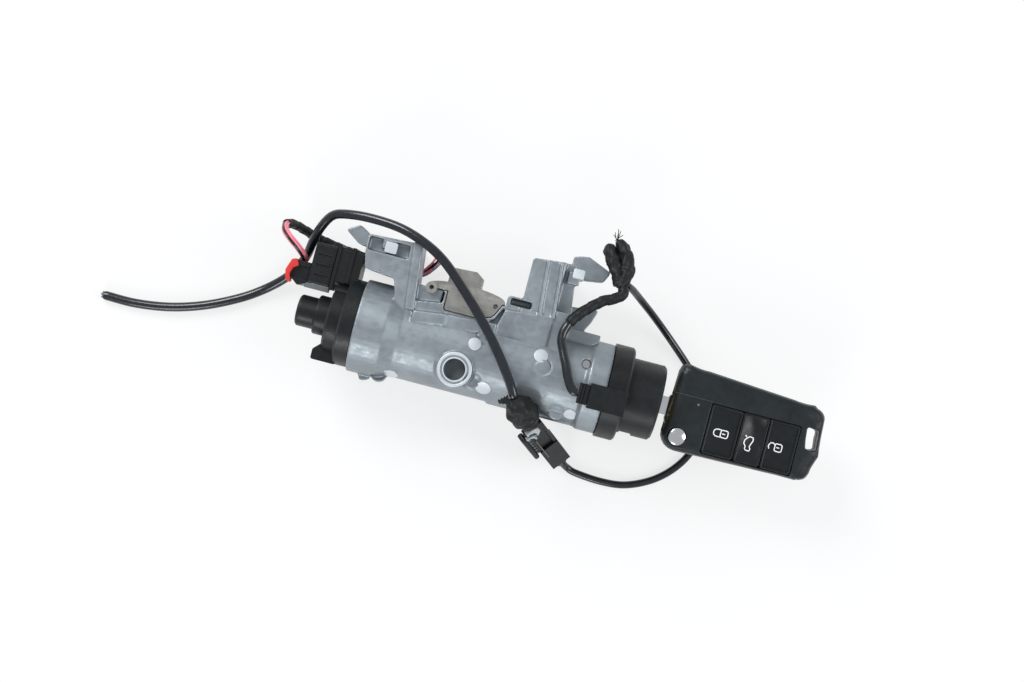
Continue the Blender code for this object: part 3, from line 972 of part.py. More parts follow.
def build():
    """Make every piece, on the empty of the body that carries it."""
    clear_scene()
    cast = finish("cast_metal", (0.62, 0.65, 0.68), 0.42, 0.75)
    steel = finish("steel", (0.55, 0.55, 0.56), 0.35, 1.0)
    zinc = finish("zinc_plate", (0.60, 0.56, 0.48), 0.4, 0.9)
    brass = finish("brass", (0.66, 0.52, 0.27), 0.35, 1.0)
    copper = finish("copper_wire", (0.60, 0.28, 0.14), 0.4, 1.0)
    black = finish("black_plastic", (0.018, 0.019, 0.021), 0.45)
    fob_black = finish("fob_plastic", (0.028, 0.028, 0.030), 0.5)
    pad_black = finish("button_rubber", (0.015, 0.015, 0.016), 0.6)
    red = finish("red_plastic", (0.62, 0.03, 0.03), 0.4)
    jacket = finish("lead_jacket", (0.02, 0.022, 0.026), 0.3)
    tape = finish("cloth_tape", (0.016, 0.016, 0.017), 0.75)
    board_green = finish("circuit_board", (0.03, 0.16, 0.07), 0.5)
    silver = finish("bright_metal", (0.75, 0.76, 0.78), 0.2, 1.0)

    lock = axis_empty("lock_axis", (0, 0, 0))
    lock.location = (0, 0, AXIS_HEIGHT)
    rotor = axis_empty("key_turn_axis", (0, 0, 0), lock)
    key = axis_empty("key_slide_axis", (SLEEVE_FRONT, 0, 0), rotor)
    fob = axis_empty("key_fold_axis", (PIVOT[0], PIVOT[1], 0), key)
    bolt = axis_empty("bolt_axis", (BOLT_X, 0, 0), lock)

    link("lock_housing", housing_mesh(), cast, parent=lock)
    link("cylinder_sleeve", sleeve_mesh(), brass, parent=lock)
    link("sleeve_pin", disc(PIN_PLACE, PIN_RADIUS, 3 * MM, 16.4 * MM, 16), steel, parent=lock)
    link("bolt_cover", bolt_cover_mesh(), zinc, parent=lock)
    link("switch_body", switch_body_mesh(), black, parent=lock)
    link("switch_cap", switch_cap_mesh(), black, parent=lock)
    for index, place in enumerate(screw_places(), 1):
        link(f"switch_screw_{index}", screw_mesh(place), steel, parent=lock)
    link("reader_coil_case", coil_case_mesh(), black, parent=lock)
    back = BARREL_FRONT + FIT
    link("coil_winding", turned([(back + FIT, WINDING_INNER), (back + FIT, WINDING_OUTER),
                                 (back + WINDING_LENGTH, WINDING_OUTER), (back + WINDING_LENGTH, WINDING_INNER)], 32),
         copper, parent=lock)
    link("coil_plug", coil_plug_mesh(), black, parent=lock)
    link("main_plug", main_plug_mesh(), black, parent=lock)
    link("plug_wire_cover", plug_cover_mesh(), black, parent=lock)
    link("plug_lock", plug_lock_mesh(), red, (PLUG_CAP_BACK, PLUG_CAP_Y[0] + 6 * MM, PLUG_Z[1]), lock)

    link("lock_bolt", lock_bolt_mesh(), zinc, (BOLT_X, 0, 0), bolt)
    seat = CAM_BASE + CAM_GAP + 2 * NOSE_RADIUS + YOKE_BAR
    helix("bolt_spring", (BOLT_X, 0), 2.0 * MM, SPRING_FLOOR + FIT, -seat - FIT, 4, 0.6 * MM, steel, lock, "Y")

    link("cylinder_core", core_mesh(), brass, parent=rotor)
    for index, x in enumerate(wafer_places(), 1):
        link(f"wafer_{index}", wafer_mesh(x, index), brass, parent=rotor)
    link("drive_shaft", drive_shaft_mesh(), zinc, parent=rotor)
    link("switch_rotor", switch_rotor_mesh(), red, parent=rotor)

    link("key_blade", blade_mesh(), silver, (SLEEVE_FRONT, 0, 0), key)
    link("blade_hub", hub_mesh(), black, (SLEEVE_FRONT, 0, 0), key)

    link("fob_top_shell", fob_shell(1), fob_black, (PIVOT[0], PIVOT[1], 0), fob)
    link("fob_bottom_shell", fob_shell(-1), fob_black, (PIVOT[0], PIVOT[1], 0), fob)
    link("button_mat", box((POCKET_BACK + 1 * MM, -16.6 * MM, MAT_Z[0]), (POCKET_FRONT - 0.8 * MM, 12.8 * MM, MAT_Z[1])),
         pad_black, (*PIVOT, 0), fob)
    link("circuit_board", box((POCKET_BACK + 2 * MM, -16 * MM, BOARD_Z[0]),
                              (POCKET_FRONT - 1.4 * MM, 12 * MM, BOARD_Z[1])), board_green, (*PIVOT, 0), fob)
    link("coin_cell", disc(CELL_PLACE, CELL_RADIUS, *CELL_Z, 32), silver, (*PIVOT, 0), fob)
    helix("fold_spring", PIVOT, 4.4 * MM, -FOB_HALF + FOB_WALL, -HUB_HALF - FIT, 3, 0.8 * MM, steel, fob).location = (
        -PIVOT[0], -PIVOT[1], 0)
    release = disc(PIVOT, RELEASE_RADIUS, HUB_HALF + FIT, FOB_HALF + 0.3 * MM, 24)
    link("release_button", release, silver, (PIVOT[0], PIVOT[1], FOB_HALF), fob)
    fob_buttons(pad_black, fob)

    inline_pieces(tape, black, silver, lock)
    link("taped_splice", splice_mesh(), tape, parent=lock)
    lead("main_lead", MAIN_ROUTE, MAIN_LEAD, jacket, lock)
    lead("loop_lead", LOOP_ROUTE, LOOP_LEAD, jacket, lock)
    lead("coil_lead", COIL_ROUTE, 4.4 * MM, jacket, lock, (0.0, SLEEVE_SHARE))
    lead("taped_loom", COIL_ROUTE, TAPED_LOOM, tape, lock, (SLEEVE_SHARE, 1.0))
    lead("plug_loom", PLUG_ROUTE, PLUG_LOOM, tape, lock)


build()
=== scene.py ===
"""Looks of an ignition switch with steering lock, reader coil, flip key and its cut leads.

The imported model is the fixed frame. Every piece here is drawn in that frame, in metres: +X runs
along the lock axis towards the key, +Y towards the steering column, +Z up from the table.
"""
import json
import logging
import math
from dataclasses import dataclass
from enum import Enum
from typing import Iterable, Sequence

import bmesh
import bpy
import numpy as np
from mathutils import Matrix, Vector
from mathutils.bvhtree import BVHTree

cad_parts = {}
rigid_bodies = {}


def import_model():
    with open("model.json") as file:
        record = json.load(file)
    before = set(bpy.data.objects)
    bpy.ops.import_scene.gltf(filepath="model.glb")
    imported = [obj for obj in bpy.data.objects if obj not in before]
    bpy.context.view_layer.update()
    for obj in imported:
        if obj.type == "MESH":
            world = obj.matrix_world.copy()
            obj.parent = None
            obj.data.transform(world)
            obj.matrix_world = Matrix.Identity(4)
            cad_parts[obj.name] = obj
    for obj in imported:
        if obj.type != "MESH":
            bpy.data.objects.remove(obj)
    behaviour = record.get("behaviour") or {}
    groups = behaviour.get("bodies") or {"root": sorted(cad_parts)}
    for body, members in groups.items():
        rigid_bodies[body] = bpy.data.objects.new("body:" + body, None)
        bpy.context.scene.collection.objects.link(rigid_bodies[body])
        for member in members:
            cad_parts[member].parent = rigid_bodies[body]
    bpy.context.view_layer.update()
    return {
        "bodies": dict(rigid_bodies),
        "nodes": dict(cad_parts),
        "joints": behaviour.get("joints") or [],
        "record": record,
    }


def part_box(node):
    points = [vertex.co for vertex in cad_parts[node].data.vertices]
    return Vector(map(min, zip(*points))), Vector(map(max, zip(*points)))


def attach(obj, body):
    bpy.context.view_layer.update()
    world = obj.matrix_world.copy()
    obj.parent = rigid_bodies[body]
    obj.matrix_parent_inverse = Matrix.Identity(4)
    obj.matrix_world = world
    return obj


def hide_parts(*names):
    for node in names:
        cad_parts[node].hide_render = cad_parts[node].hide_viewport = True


LOG = logging.getLogger("ignition_switch")

MM = 0.001
AXIS_HEIGHT = 30.0 * MM           # lock axis above the table
Colour = tuple[float, float, float]
Points = np.ndarray


class Body(Enum):
    """Bodies of the frame that pieces ride on."""

    LOCK = "lock"
    PLUG_SLIDE = "plug_slide"
    BOLT = "bolt"
    ROTOR = "rotor"
    KEY = "key"
    FOB = "fob"
    RELEASE = "release"
    LOCK_PRESS = "lock_press"
    BOOT_PRESS = "boot_press"
    UNLOCK_PRESS = "unlock_press"


class Slot(Enum):
    """Material slots of the record."""

    CAST = "cast_metal"
    STEEL = "steel"
    ZINC = "zinc_plate"
    BRASS = "brass"
    COPPER = "copper_wire"
    BLACK = "black_plastic"
    FOB = "fob_plastic"
    RUBBER = "button_rubber"
    RED = "red_plastic"
    JACKET = "lead_jacket"
    TAPE = "cloth_tape"
    BOARD = "circuit_board"
    BRIGHT = "bright_metal"


class Trim(Enum):
    """Finishes of small things that have no slot of their own."""

    PINK = "pink_wire"
    VIOLET = "violet_wire"
    PRINT = "white_print"
    PALE = "pale_plastic"
    GREY = "grey_plastic"
    DOT = "ejector_face"


# Curves and surfaces

def lock_points(points: Sequence[Sequence[float]]) -> Points:
    """Turn millimetres about the lock axis into metres in the frame.

    Args:
        points: rows of x, y and z from the lock axis, in millimetres.

    Returns:
        The same points in metres above the table.
    """
    return np.asarray(points, float) * MM + (0.0, 0.0, AXIS_HEIGHT)


def smooth_curve(points: Points, per_span: int = 12) -> Points:
    """Carry a Catmull-Rom curve through given points.

    Between two points the curve is a cubic that leaves each point in the direction of the
    chord between that point's neighbours.

    Args:
        points: the points that the curve passes through.
        per_span: steps between two of them.

    Returns:
        The points of the curve.
    """
    ends = np.vstack([2 * points[:1] - points[1:2], points, 2 * points[-1:] - points[-2:-1]])
    a, b, c, d = ends[:-3, None], ends[1:-2, None], ends[2:-1, None], ends[3:, None]
    u = np.linspace(0.0, 1.0, per_span, endpoint=False)[None, :, None]
    curve = 0.5 * (2 * b + (c - a) * u + (2 * a - 5 * b + 4 * c - d) * u ** 2
                   + (3 * b - a - 3 * c + d) * u ** 3)
    return np.vstack([curve.reshape(-1, 3), points[-1:]])


def arc_lengths(path: Points) -> Points:
    """Length walked along a path at each of its points."""
    return np.concatenate([[0.0], np.cumsum(np.linalg.norm(np.diff(path, axis=0), axis=1))])


def even_path(path: Points, spacing: float, share: tuple[float, float] = (0.0, 1.0)) -> Points:
    """Read evenly spaced points off a path.

    Args:
        path: the path's points.
        spacing: about how far apart the new points lie.
        share: the stretch of the path to keep, as shares of its length.

    Returns:
        The new points.
    """
    walked = arc_lengths(path)
    low, high = share[0] * walked[-1], share[1] * walked[-1]
    wanted = np.linspace(low, high, max(3, round((high - low) / spacing)))
    return np.stack([np.interp(wanted, walked, path[:, axis]) for axis in range(3)], axis=1)


def path_frames(path: Points) -> tuple[Points, Points]:
    """Two unit directions across a path at each point, carried along it without twist.

    Each one is the direction before it, less its part along the path there.

    Args:
        path: the path's points.

    Returns:
        The side and up directions.
    """
    along = np.gradient(path, axis=0)
    along /= np.linalg.norm(along, axis=1, keepdims=True)
    start = np.eye(3)[np.argmin(np.abs(along[0]))]
    sides = np.empty_like(along)
    for index, forward in enumerate(along):
        start = start - forward * (start @ forward)
        start /= np.linalg.norm(start)
        sides[index] = start
    return sides, np.cross(along, sides)


def tube_grid(path: Points, radius: Points | float, sides: int = 20) -> Points:
    """Sweep circles along a path.

    A point is the path's point plus the radius times (cosine of the turn across the side
    direction plus sine of the turn across the up direction).

    Args:
        path: the centre line.
        radius: one radius, one for each point, or one for each point and turn.
        sides: points round each circle.

    Returns:
        A grid of rings by sides by three.
    """
    side, up = path_frames(path)
    turn = np.linspace(0.0, 2 * np.pi, sides, endpoint=False)
    size = np.broadcast_to(np.asarray(radius, float).reshape(-1, 1) if np.ndim(radius) < 2 else radius,
                           (len(path), sides))
    across = np.cos(turn)[None, :, None] * side[:, None] + np.sin(turn)[None, :, None] * up[:, None]
    return path[:, None] + size[:, :, None] * across


def rounded_outline(corners: Sequence[tuple[float, float, float]], steps: int = 6) -> Points:
    """Outline whose corners are arcs that touch both of their sides.

    An arc is centred on its corner's bisector, the radius over the sine of the half angle away from
    the corner, and turns from its foot on one side to its foot on the other.

    Args:
        corners: a, b and radius of each corner, counterclockwise.
        steps: steps along each arc.

    Returns:
        The outline's points.
    """
    rows = np.asarray(corners, float)
    here, radius = rows[:, :2], rows[:, 2:3]
    before, after = np.roll(here, 1, axis=0) - here, np.roll(here, -1, axis=0) - here
    before /= np.linalg.norm(before, axis=1, keepdims=True)
    after /= np.linalg.norm(after, axis=1, keepdims=True)
    half = np.arccos(np.clip(np.sum(before * after, axis=1, keepdims=True), -1.0, 1.0)) / 2
    bisector = before + after
    centre = here + bisector / np.linalg.norm(bisector, axis=1, keepdims=True) * radius / np.sin(half)
    first = here + before * radius / np.tan(half) - centre
    last = here + after * radius / np.tan(half) - centre
    sweep = np.arctan2(first[:, 0] * last[:, 1] - first[:, 1] * last[:, 0], np.sum(first * last, axis=1))
    turn = sweep[:, None] * np.linspace(0.0, 1.0, steps + 1)
    quarter = np.stack([-first[:, 1], first[:, 0]], axis=1)
    arcs = (centre[:, None] + np.cos(turn)[..., None] * first[:, None]
            + np.sin(turn)[..., None] * quarter[:, None])
    return arcs.reshape(-1, 2)


def box_corners(low: Sequence[float], high: Sequence[float], radius: float | Sequence[float]) -> Points:
    """Corners of a flat box for rounded_outline, with one radius or four from its low corner round."""
    (a, b), (c, d) = low, high
    return np.column_stack([(a, c, c, a), (b, b, d, d), np.broadcast_to(radius, 4)])


def circle(centre: tuple[float, float], radius: float, sides: int = 40) -> Points:
    """Outline of a circle."""
    turn = np.linspace(0.0, 2 * np.pi, sides, endpoint=False)
    return np.stack([centre[0] + radius * np.cos(turn), centre[1] + radius * np.sin(turn)], axis=1)


def rimmed_grid(outline: Points, profile: Sequence[tuple[float, float]]) -> Points:
    """Carry a profile round an outline.

    Each row of the profile is the outline moved inwards along the bisector of its two sides by the
    row's inset, at the row's height.

    Args:
        outline: the outline's points, in either order.
        profile: inset and height of each row.

    Returns:
        A grid of rows by points by three.
    """
    after = np.roll(outline, -1, axis=0)
    if np.sum(outline[:, 0] * after[:, 1] - outline[:, 1] * after[:, 0]) < 0:
        outline = outline[::-1]
    ahead = np.roll(outline, -1, axis=0) - outline
    ahead /= np.linalg.norm(ahead, axis=1, keepdims=True)
    normal = np.stack([-ahead[:, 1], ahead[:, 0]], axis=1)
    inwards = normal + np.roll(normal, 1, axis=0)
    inwards /= np.maximum(np.sum(inwards * normal, axis=1, keepdims=True), 0.2)
    insets, heights = np.asarray(profile, float).T
    flat = outline[None] + insets[:, None, None] * inwards[None]
    return np.concatenate([flat, np.broadcast_to(heights[:, None, None], (*flat.shape[:2], 1))], axis=2)


def rim(low: float, high: float, radius: float, steps: int = 4) -> list[tuple[float, float]]:
    """Profile of a slab with a rounded upper rim: a quarter circle of that radius."""
    turn = np.linspace(0.0, np.pi / 2, steps + 1)
    arc = np.stack([radius * (1 - np.cos(turn)), high - radius * (1 - np.sin(turn))], axis=1)
    return [(0.0, low), *map(tuple, arc)]


def slab(corners: Sequence[Sequence[float]], low: float, high: float, edge: float, steps: int = 6) -> Points:
    """Grid of a flat piece with rounded corners, from low to high, its upper rim rounded by the edge."""
    return rimmed_grid(rounded_outline(corners, steps), rim(low, high, edge))


def in_frame(grid: Points, origin: Sequence[float], along: Sequence[float], up: Sequence[float]) -> Points:
    """Place a grid drawn in millimetres in a frame of its own.

    Args:
        grid: its points, with X along the frame.
        origin: the frame's origin from the lock axis, in millimetres.
        along: direction of its X.
        up: a direction near its Z.

    Returns:
        The grid in metres above the table.
    """
    x = np.asarray(along, float) / np.linalg.norm(along)
    y = np.cross(up, x) / np.linalg.norm(np.cross(up, x))
    return lock_points(np.asarray(origin, float) + grid @ np.stack([x, y, np.cross(x, y)]))


def grid_faces(rows: int, columns: int, ringed: bool) -> Points:
    """Indices of the quads of a grid whose rows close on themselves.

    Args:
        rows: rows of the grid.
        columns: points in each row.
        ringed: whether the last row joins the first one.

    Returns:
        One row of four indices for each quad.
    """
    i = np.arange(rows if ringed else rows - 1)[:, None]
    j = np.arange(columns)[None, :]
    after_i, after_j = (i + 1) % rows, (j + 1) % columns
    quads = np.stack([i * columns + j, i * columns + after_j, after_i * columns + after_j,
                      after_i * columns + j], axis=2)
    return quads.reshape(-1, 4)


def grid_mesh(name: str, grids: Iterable[Points], crease: float, ringed: bool) -> bpy.types.Mesh:
    """Make one mesh of closed grids, with its faces pointing out.

    Args:
        name: the mesh's name.
        grids: the grids, each rows by columns by three.
        crease: edges sharper than this, in degrees, stay sharp.
        ringed: whether the last row joins the first one, where both are filled otherwise.

    Returns:
        The mesh.
    """
    points, faces, start = [], [], 0
    for grid in grids:
        rows, columns = grid.shape[:2]
        points.append(grid.reshape(-1, 3))
        faces += (grid_faces(rows, columns, ringed) + start).tolist()
        if not ringed:
            faces.append(list(range(start + columns - 1, start - 1, -1)))
            faces.append(list(range(start + (rows - 1) * columns, start + rows * columns)))
        start += rows * columns
    mesh = bpy.data.meshes.new(name)
    mesh.from_pydata(np.vstack(points).tolist(), [], faces)
    return oriented(mesh, crease)


def oriented(mesh: bpy.types.Mesh, crease: float) -> bpy.types.Mesh:
    """Merge a mesh's doubles, turn its faces outwards and shade it smooth between its edges."""
    shape = bmesh.new()
    shape.from_mesh(mesh)
    bmesh.ops.remove_doubles(shape, verts=shape.verts, dist=1e-7)
    bmesh.ops.recalc_face_normals(shape, faces=shape.faces)
    shape.to_mesh(mesh)
    shape.free()
    mesh.shade_smooth()
    mesh.set_sharp_from_angle(angle=math.radians(crease))
    return mesh


def places(mesh: bpy.types.Mesh) -> Points:
    """Every vertex of a mesh, as rows of x, y and z."""
    flat = np.empty(len(mesh.vertices) * 3)
    mesh.vertices.foreach_get("co", flat)
    return flat.reshape(-1, 3)


def moved(mesh: bpy.types.Mesh, points: Points) -> None:
    """Put every vertex of a mesh somewhere else."""
    mesh.vertices.foreach_set("co", points.reshape(-1))
    mesh.update()


# Finishes

class Graph:
    """Short words for the nodes of one material."""

    def __init__(self, name: str) -> None:
        """Open a Principled material that reads Object coordinates."""
        self.material = bpy.data.materials.new(name)
        self.material.use_nodes = True
        self.tree = self.material.node_tree
        self.shader = self.tree.nodes["Principled BSDF"]
        self.place = self.tree.nodes.new("ShaderNodeTexCoord").outputs["Object"]

    def node(self, kind: str, links: dict | None = None, **values: object) -> bpy.types.Node:
        """Add a node.

        Args:
            kind: the node's type.
            links: input name or number to a socket or a value.
            values: attributes of the node.

        Returns:
            The node.
        """
        made = self.tree.nodes.new(kind)
        for key, value in values.items():
            setattr(made, key, value)
        for key, value in (links or {}).items():
            if isinstance(value, bpy.types.NodeSocket):
                self.tree.links.new(value, made.inputs[key])
            else:
                made.inputs[key].default_value = value
        return made

    def noise(self, scale: float, detail: float = 3.0, roughness: float = 0.55,
              stretch: Colour = (1.0, 1.0, 1.0)) -> bpy.types.NodeSocket:
        """Noise at a number of features per metre, stretched by a factor along each axis."""
        mapped = self.node("ShaderNodeMapping", {"Vector": self.place, "Scale": stretch}).outputs["Vector"]
        return self.node("ShaderNodeTexNoise", {"Vector": mapped, "Scale": scale, "Detail": detail,
                                                "Roughness": roughness}).outputs["Fac"]

    def maths(self, operation: str, *values: bpy.types.NodeSocket | float) -> bpy.types.NodeSocket:
        """Result of one operation on its values."""
        return self.node("ShaderNodeMath", dict(enumerate(values)), operation=operation).outputs[0]

    def between(self, source: bpy.types.NodeSocket, low: float, high: float,
                edges: tuple[float, float] = (0.3, 0.7)) -> bpy.types.NodeSocket:
        """Map a pattern from its edges to a low and a high value."""
        return self.node("ShaderNodeMapRange", {"Value": source, "From Min": edges[0], "From Max": edges[1],
                                                "To Min": low, "To Max": high}).outputs["Result"]

    def blend(self, share: bpy.types.NodeSocket, first: object, second: object) -> bpy.types.NodeSocket:
        """Mix two colours by a pattern."""
        made = self.node("ShaderNodeMix", {0: share}, data_type="RGBA")
        for index, colour in ((6, first), (7, second)):
            if isinstance(colour, bpy.types.NodeSocket):
                self.tree.links.new(colour, made.inputs[index])
            else:
                made.inputs[index].default_value = (*colour, 1.0)
        return made.outputs[2]

    def sum(self, first: bpy.types.NodeSocket, second: bpy.types.NodeSocket, share: float = 1.0
            ) -> bpy.types.NodeSocket:
        """First plus a share of the second."""
        return self.maths("MULTIPLY_ADD", second, share, first)

    def bump(self, height: bpy.types.NodeSocket, depth: float) -> None:
        """Tilt the surface by a height pattern that is so many metres deep."""
        made = self.node("ShaderNodeBump", {"Height": height, "Distance": depth, "Strength": 1.0})
        self.wire("Normal", made.outputs["Normal"])

    def wire(self, name: str, socket: bpy.types.NodeSocket) -> None:
        """Feed a socket of the shader."""
        self.tree.links.new(socket, self.shader.inputs[name])

    def set(self, **values: float) -> None:
        """Set constants on the shader's own sockets, with _ for the spaces in their names."""
        for key, value in values.items():
            self.shader.inputs[key.replace("_", " ")].default_value = value


@dataclass(frozen=True)
class Finish:
    """A surface with clouds of slightly different colour and gloss and a fine grain."""

    surface: Slot | Trim
    colour: Colour
    roughness: float
    metallic: float = 0.0
    clouds: float = 90.0             # cloud features per metre
    cloud_change: float = 0.12       # how much the colour changes with them
    gloss_change: float = 0.06
    grain: float = 3000.0            # grains per metre
    grain_depth: float = 0.03 * MM
    stretch: Colour = (1.0, 1.0, 1.0)
    wear_and_edge_highlight: float = 0.0                # how bright exposed edges are, by wear and a painted edge highlight
    specular: float = 0.5

    def build(self) -> bpy.types.Material:
        """Wire the finish and return its material."""
        graph = Graph(self.surface.value + "_look")
        graph.set(Metallic=self.metallic, Specular_IOR_Level=self.specular)
        cloud = graph.noise(self.clouds, 4.0)
        dark = tuple(c * (1 - self.cloud_change) for c in self.colour)
        light = tuple(min(1.0, c * (1 + self.cloud_change)) for c in self.colour)
        colour = graph.blend(graph.between(cloud, 0.0, 1.0), dark, light)
        graph.wire("Base Color", self.pattern(graph, colour))
        streaks = graph.noise(self.clouds * 4, 3.0, 0.6, self.stretch)
        graph.wire("Roughness", graph.between(streaks, self.roughness - self.gloss_change,
                                              self.roughness + self.gloss_change))
        graph.bump(self.relief(graph), self.grain_depth)
        return graph.material

    def pattern(self, graph: Graph, colour: bpy.types.NodeSocket) -> bpy.types.NodeSocket:
        """Brighten what stands out of the surface, where the finish wears and as a painted edge highlight."""
        if not self.wear_and_edge_highlight:
            return colour
        # Convex edges, found by pointiness, lighten: partly wear, partly a painted edge highlight.
        edge = graph.node("ShaderNodeNewGeometry").outputs["Pointiness"]
        bright_edge_share = graph.maths("MULTIPLY", graph.between(edge, 0.0, 1.0, (0.52, 0.6)),
                          graph.between(graph.noise(600.0), 0.2, 1.0))
        worn_and_lit = tuple(c + (0.9 - c) * self.wear_and_edge_highlight for c in self.colour)
        return graph.blend(bright_edge_share, colour, worn_and_lit)

    def relief(self, graph: Graph) -> bpy.types.NodeSocket:
        """Height pattern of the grain."""
        return graph.noise(self.grain, 2.0, 0.5, self.stretch)


@dataclass(frozen=True)
class CastFinish(Finish):
    """Die casting: fine pits over soft flow marks, with a few stains and painted shade in its inner corners.
    """

    stain: Colour = (0.30, 0.27, 0.22)
    shade: Colour = (0.07, 0.085, 0.10)   # painted shade in the inner corners

    def pattern(self, graph: Graph, colour: bpy.types.NodeSocket) -> bpy.types.NodeSocket:
        """Flow marks, stains and painted shade in the inner corners over the clouds."""
        flow = graph.between(graph.noise(60.0, 5.0, 0.7, (1.0, 3.0, 3.0)), 0.0, 0.35, (0.5, 0.75))
        stains = graph.between(graph.noise(45.0, 6.0, 0.6), 0.0, 0.5, (0.62, 0.8))
        stained = graph.blend(stains, colour, self.stain)
        marked = graph.blend(flow, stained, tuple(c * 0.72 for c in self.colour))
        # Painted shade: concave places, found by pointiness, blend towards the dark shade colour.
        edge = graph.node("ShaderNodeNewGeometry").outputs["Pointiness"]
        corners = graph.blend(graph.between(edge, 0.75, 0.0, (0.41, 0.488)), marked, self.shade)
        return super().pattern(graph, corners)

    def relief(self, graph: Graph) -> bpy.types.NodeSocket:
        """Pits on soft waves."""
        return graph.sum(graph.noise(self.grain, 3.0), graph.noise(220.0, 3.0), 2.5)


@dataclass(frozen=True)
class TapeFinish(Finish):
    """Woven wrapping tape: fine crossing threads with a dusty sheen."""

    threads: float = 2200.0

    def relief(self, graph: Graph) -> bpy.types.NodeSocket:
        """Two sets of waves across each other, under a coarse crumple."""
        waves = [graph.node("ShaderNodeTexWave", {"Vector": graph.place, "Scale": self.threads / 20,
                                                  "Distortion": 1.5, "Detail": 1.0},
                            bands_direction=direction).outputs["Fac"] for direction in ("X", "Y")]
        return graph.sum(graph.sum(waves[0], waves[1]), graph.noise(500.0, 3.0), 3.0)


@dataclass(frozen=True)
class WindingFinish(Finish):
    """Fine enamelled wire, wound round the lock axis."""

    turns: float = 3200.0

    def relief(self, graph: Graph) -> bpy.types.NodeSocket:
        """Ridges round the X axis."""
        return graph.node("ShaderNodeTexWave", {"Vector": graph.place, "Scale": self.turns / 20},
                          bands_direction="X").outputs["Fac"]


@dataclass(frozen=True)
class SeamedFinish(Finish):
    """Moulded shell with a fine seam along X, from its end to the buttons."""

    seam: float = 7.7 * MM           # its Y
    seam_end: float = 127.0 * MM
    seam_width: float = 0.2 * MM
    lip: Colour = (0.07, 0.078, 0.082)

    def groove(self, graph: Graph) -> bpy.types.NodeSocket:
        """One in the seam and nought outside it."""
        parts = graph.node("ShaderNodeSeparateXYZ", {"Vector": graph.place}).outputs
        away = graph.maths("ABSOLUTE", graph.maths("SUBTRACT", parts["Y"], self.seam))
        near = graph.between(away, 1.0, 0.0, (self.seam_width / 2, self.seam_width))
        return graph.maths("MULTIPLY", near, graph.maths("LESS_THAN", parts["X"], self.seam_end))

    def pattern(self, graph: Graph, colour: bpy.types.NodeSocket) -> bpy.types.NodeSocket:
        """Lighten the seam's lip a little, as its edge catches the light."""
        return graph.blend(self.groove(graph), super().pattern(graph, colour), self.lip)

    def relief(self, graph: Graph) -> bpy.types.NodeSocket:
        """Sink the seam under the grain."""
        return graph.sum(super().relief(graph), self.groove(graph), -8.0)


FINISHES: tuple[Finish, ...] = (
    CastFinish(Slot.CAST, (0.29, 0.33, 0.355), 0.45, 0.60, clouds=70.0, cloud_change=0.14, gloss_change=0.12,
               grain=4200.0, grain_depth=0.05 * MM, wear_and_edge_highlight=0.45),
    Finish(Slot.STEEL, (0.60, 0.60, 0.61), 0.30, 1.0, stretch=(1.0, 6.0, 6.0)),
    Finish(Slot.ZINC, (0.33, 0.325, 0.30), 0.42, 0.65, clouds=160.0, cloud_change=0.2, gloss_change=0.12,
           wear_and_edge_highlight=0.3),
    Finish(Slot.BRASS, (0.66, 0.52, 0.27), 0.30, 1.0, stretch=(6.0, 1.0, 1.0)),
    WindingFinish(Slot.COPPER, (0.60, 0.28, 0.14), 0.35, 0.9, grain_depth=0.08 * MM),
    Finish(Slot.BLACK, (0.0085, 0.0105, 0.0115), 0.38, cloud_change=0.25, gloss_change=0.08, grain=5200.0,
           grain_depth=0.025 * MM, specular=0.34),
    SeamedFinish(Slot.FOB, (0.012, 0.0165, 0.018), 0.38, cloud_change=0.25, gloss_change=0.06, grain=6500.0,
                 grain_depth=0.03 * MM, specular=0.32),
    Finish(Slot.RUBBER, (0.009, 0.011, 0.012), 0.32, cloud_change=0.2, gloss_change=0.08, grain=5000.0,
           grain_depth=0.015 * MM, specular=0.30),
    Finish(Slot.RED, (0.62, 0.035, 0.03), 0.35, cloud_change=0.08, grain_depth=0.01 * MM),
    Finish(Slot.JACKET, (0.010, 0.013, 0.017), 0.20, cloud_change=0.3, gloss_change=0.08, clouds=250.0,
           grain=1500.0, grain_depth=0.02 * MM, specular=0.6),
    TapeFinish(Slot.TAPE, (0.0065, 0.0075, 0.008), 0.52, cloud_change=0.35, clouds=300.0,
               grain_depth=0.06 * MM, specular=0.35),
    Finish(Slot.BOARD, (0.03, 0.16, 0.07), 0.35, cloud_change=0.15),
    Finish(Trim.PINK, (0.83, 0.24, 0.30), 0.32, cloud_change=0.08, grain_depth=0.01 * MM),
    Finish(Trim.VIOLET, (0.36, 0.26, 0.40), 0.32, cloud_change=0.08, grain_depth=0.01 * MM),
    Finish(Trim.PRINT, (0.86, 0.88, 0.88), 0.5, cloud_change=0.03, grain_depth=0.005 * MM),
    Finish(Trim.PALE, (0.42, 0.46, 0.48), 0.4, cloud_change=0.1, grain_depth=0.02 * MM),
    Finish(Trim.GREY, (0.13, 0.145, 0.15), 0.42, cloud_change=0.15, grain_depth=0.02 * MM),
    Finish(Trim.DOT, (0.62, 0.67, 0.70), 0.42, 0.35, cloud_change=0.05, grain_depth=0.02 * MM),
    Finish(Slot.BRIGHT, (0.78, 0.79, 0.80), 0.16, 1.0, cloud_change=0.04, gloss_change=0.05,
           grain_depth=0.006 * MM, stretch=(1.0, 8.0, 1.0)),
)


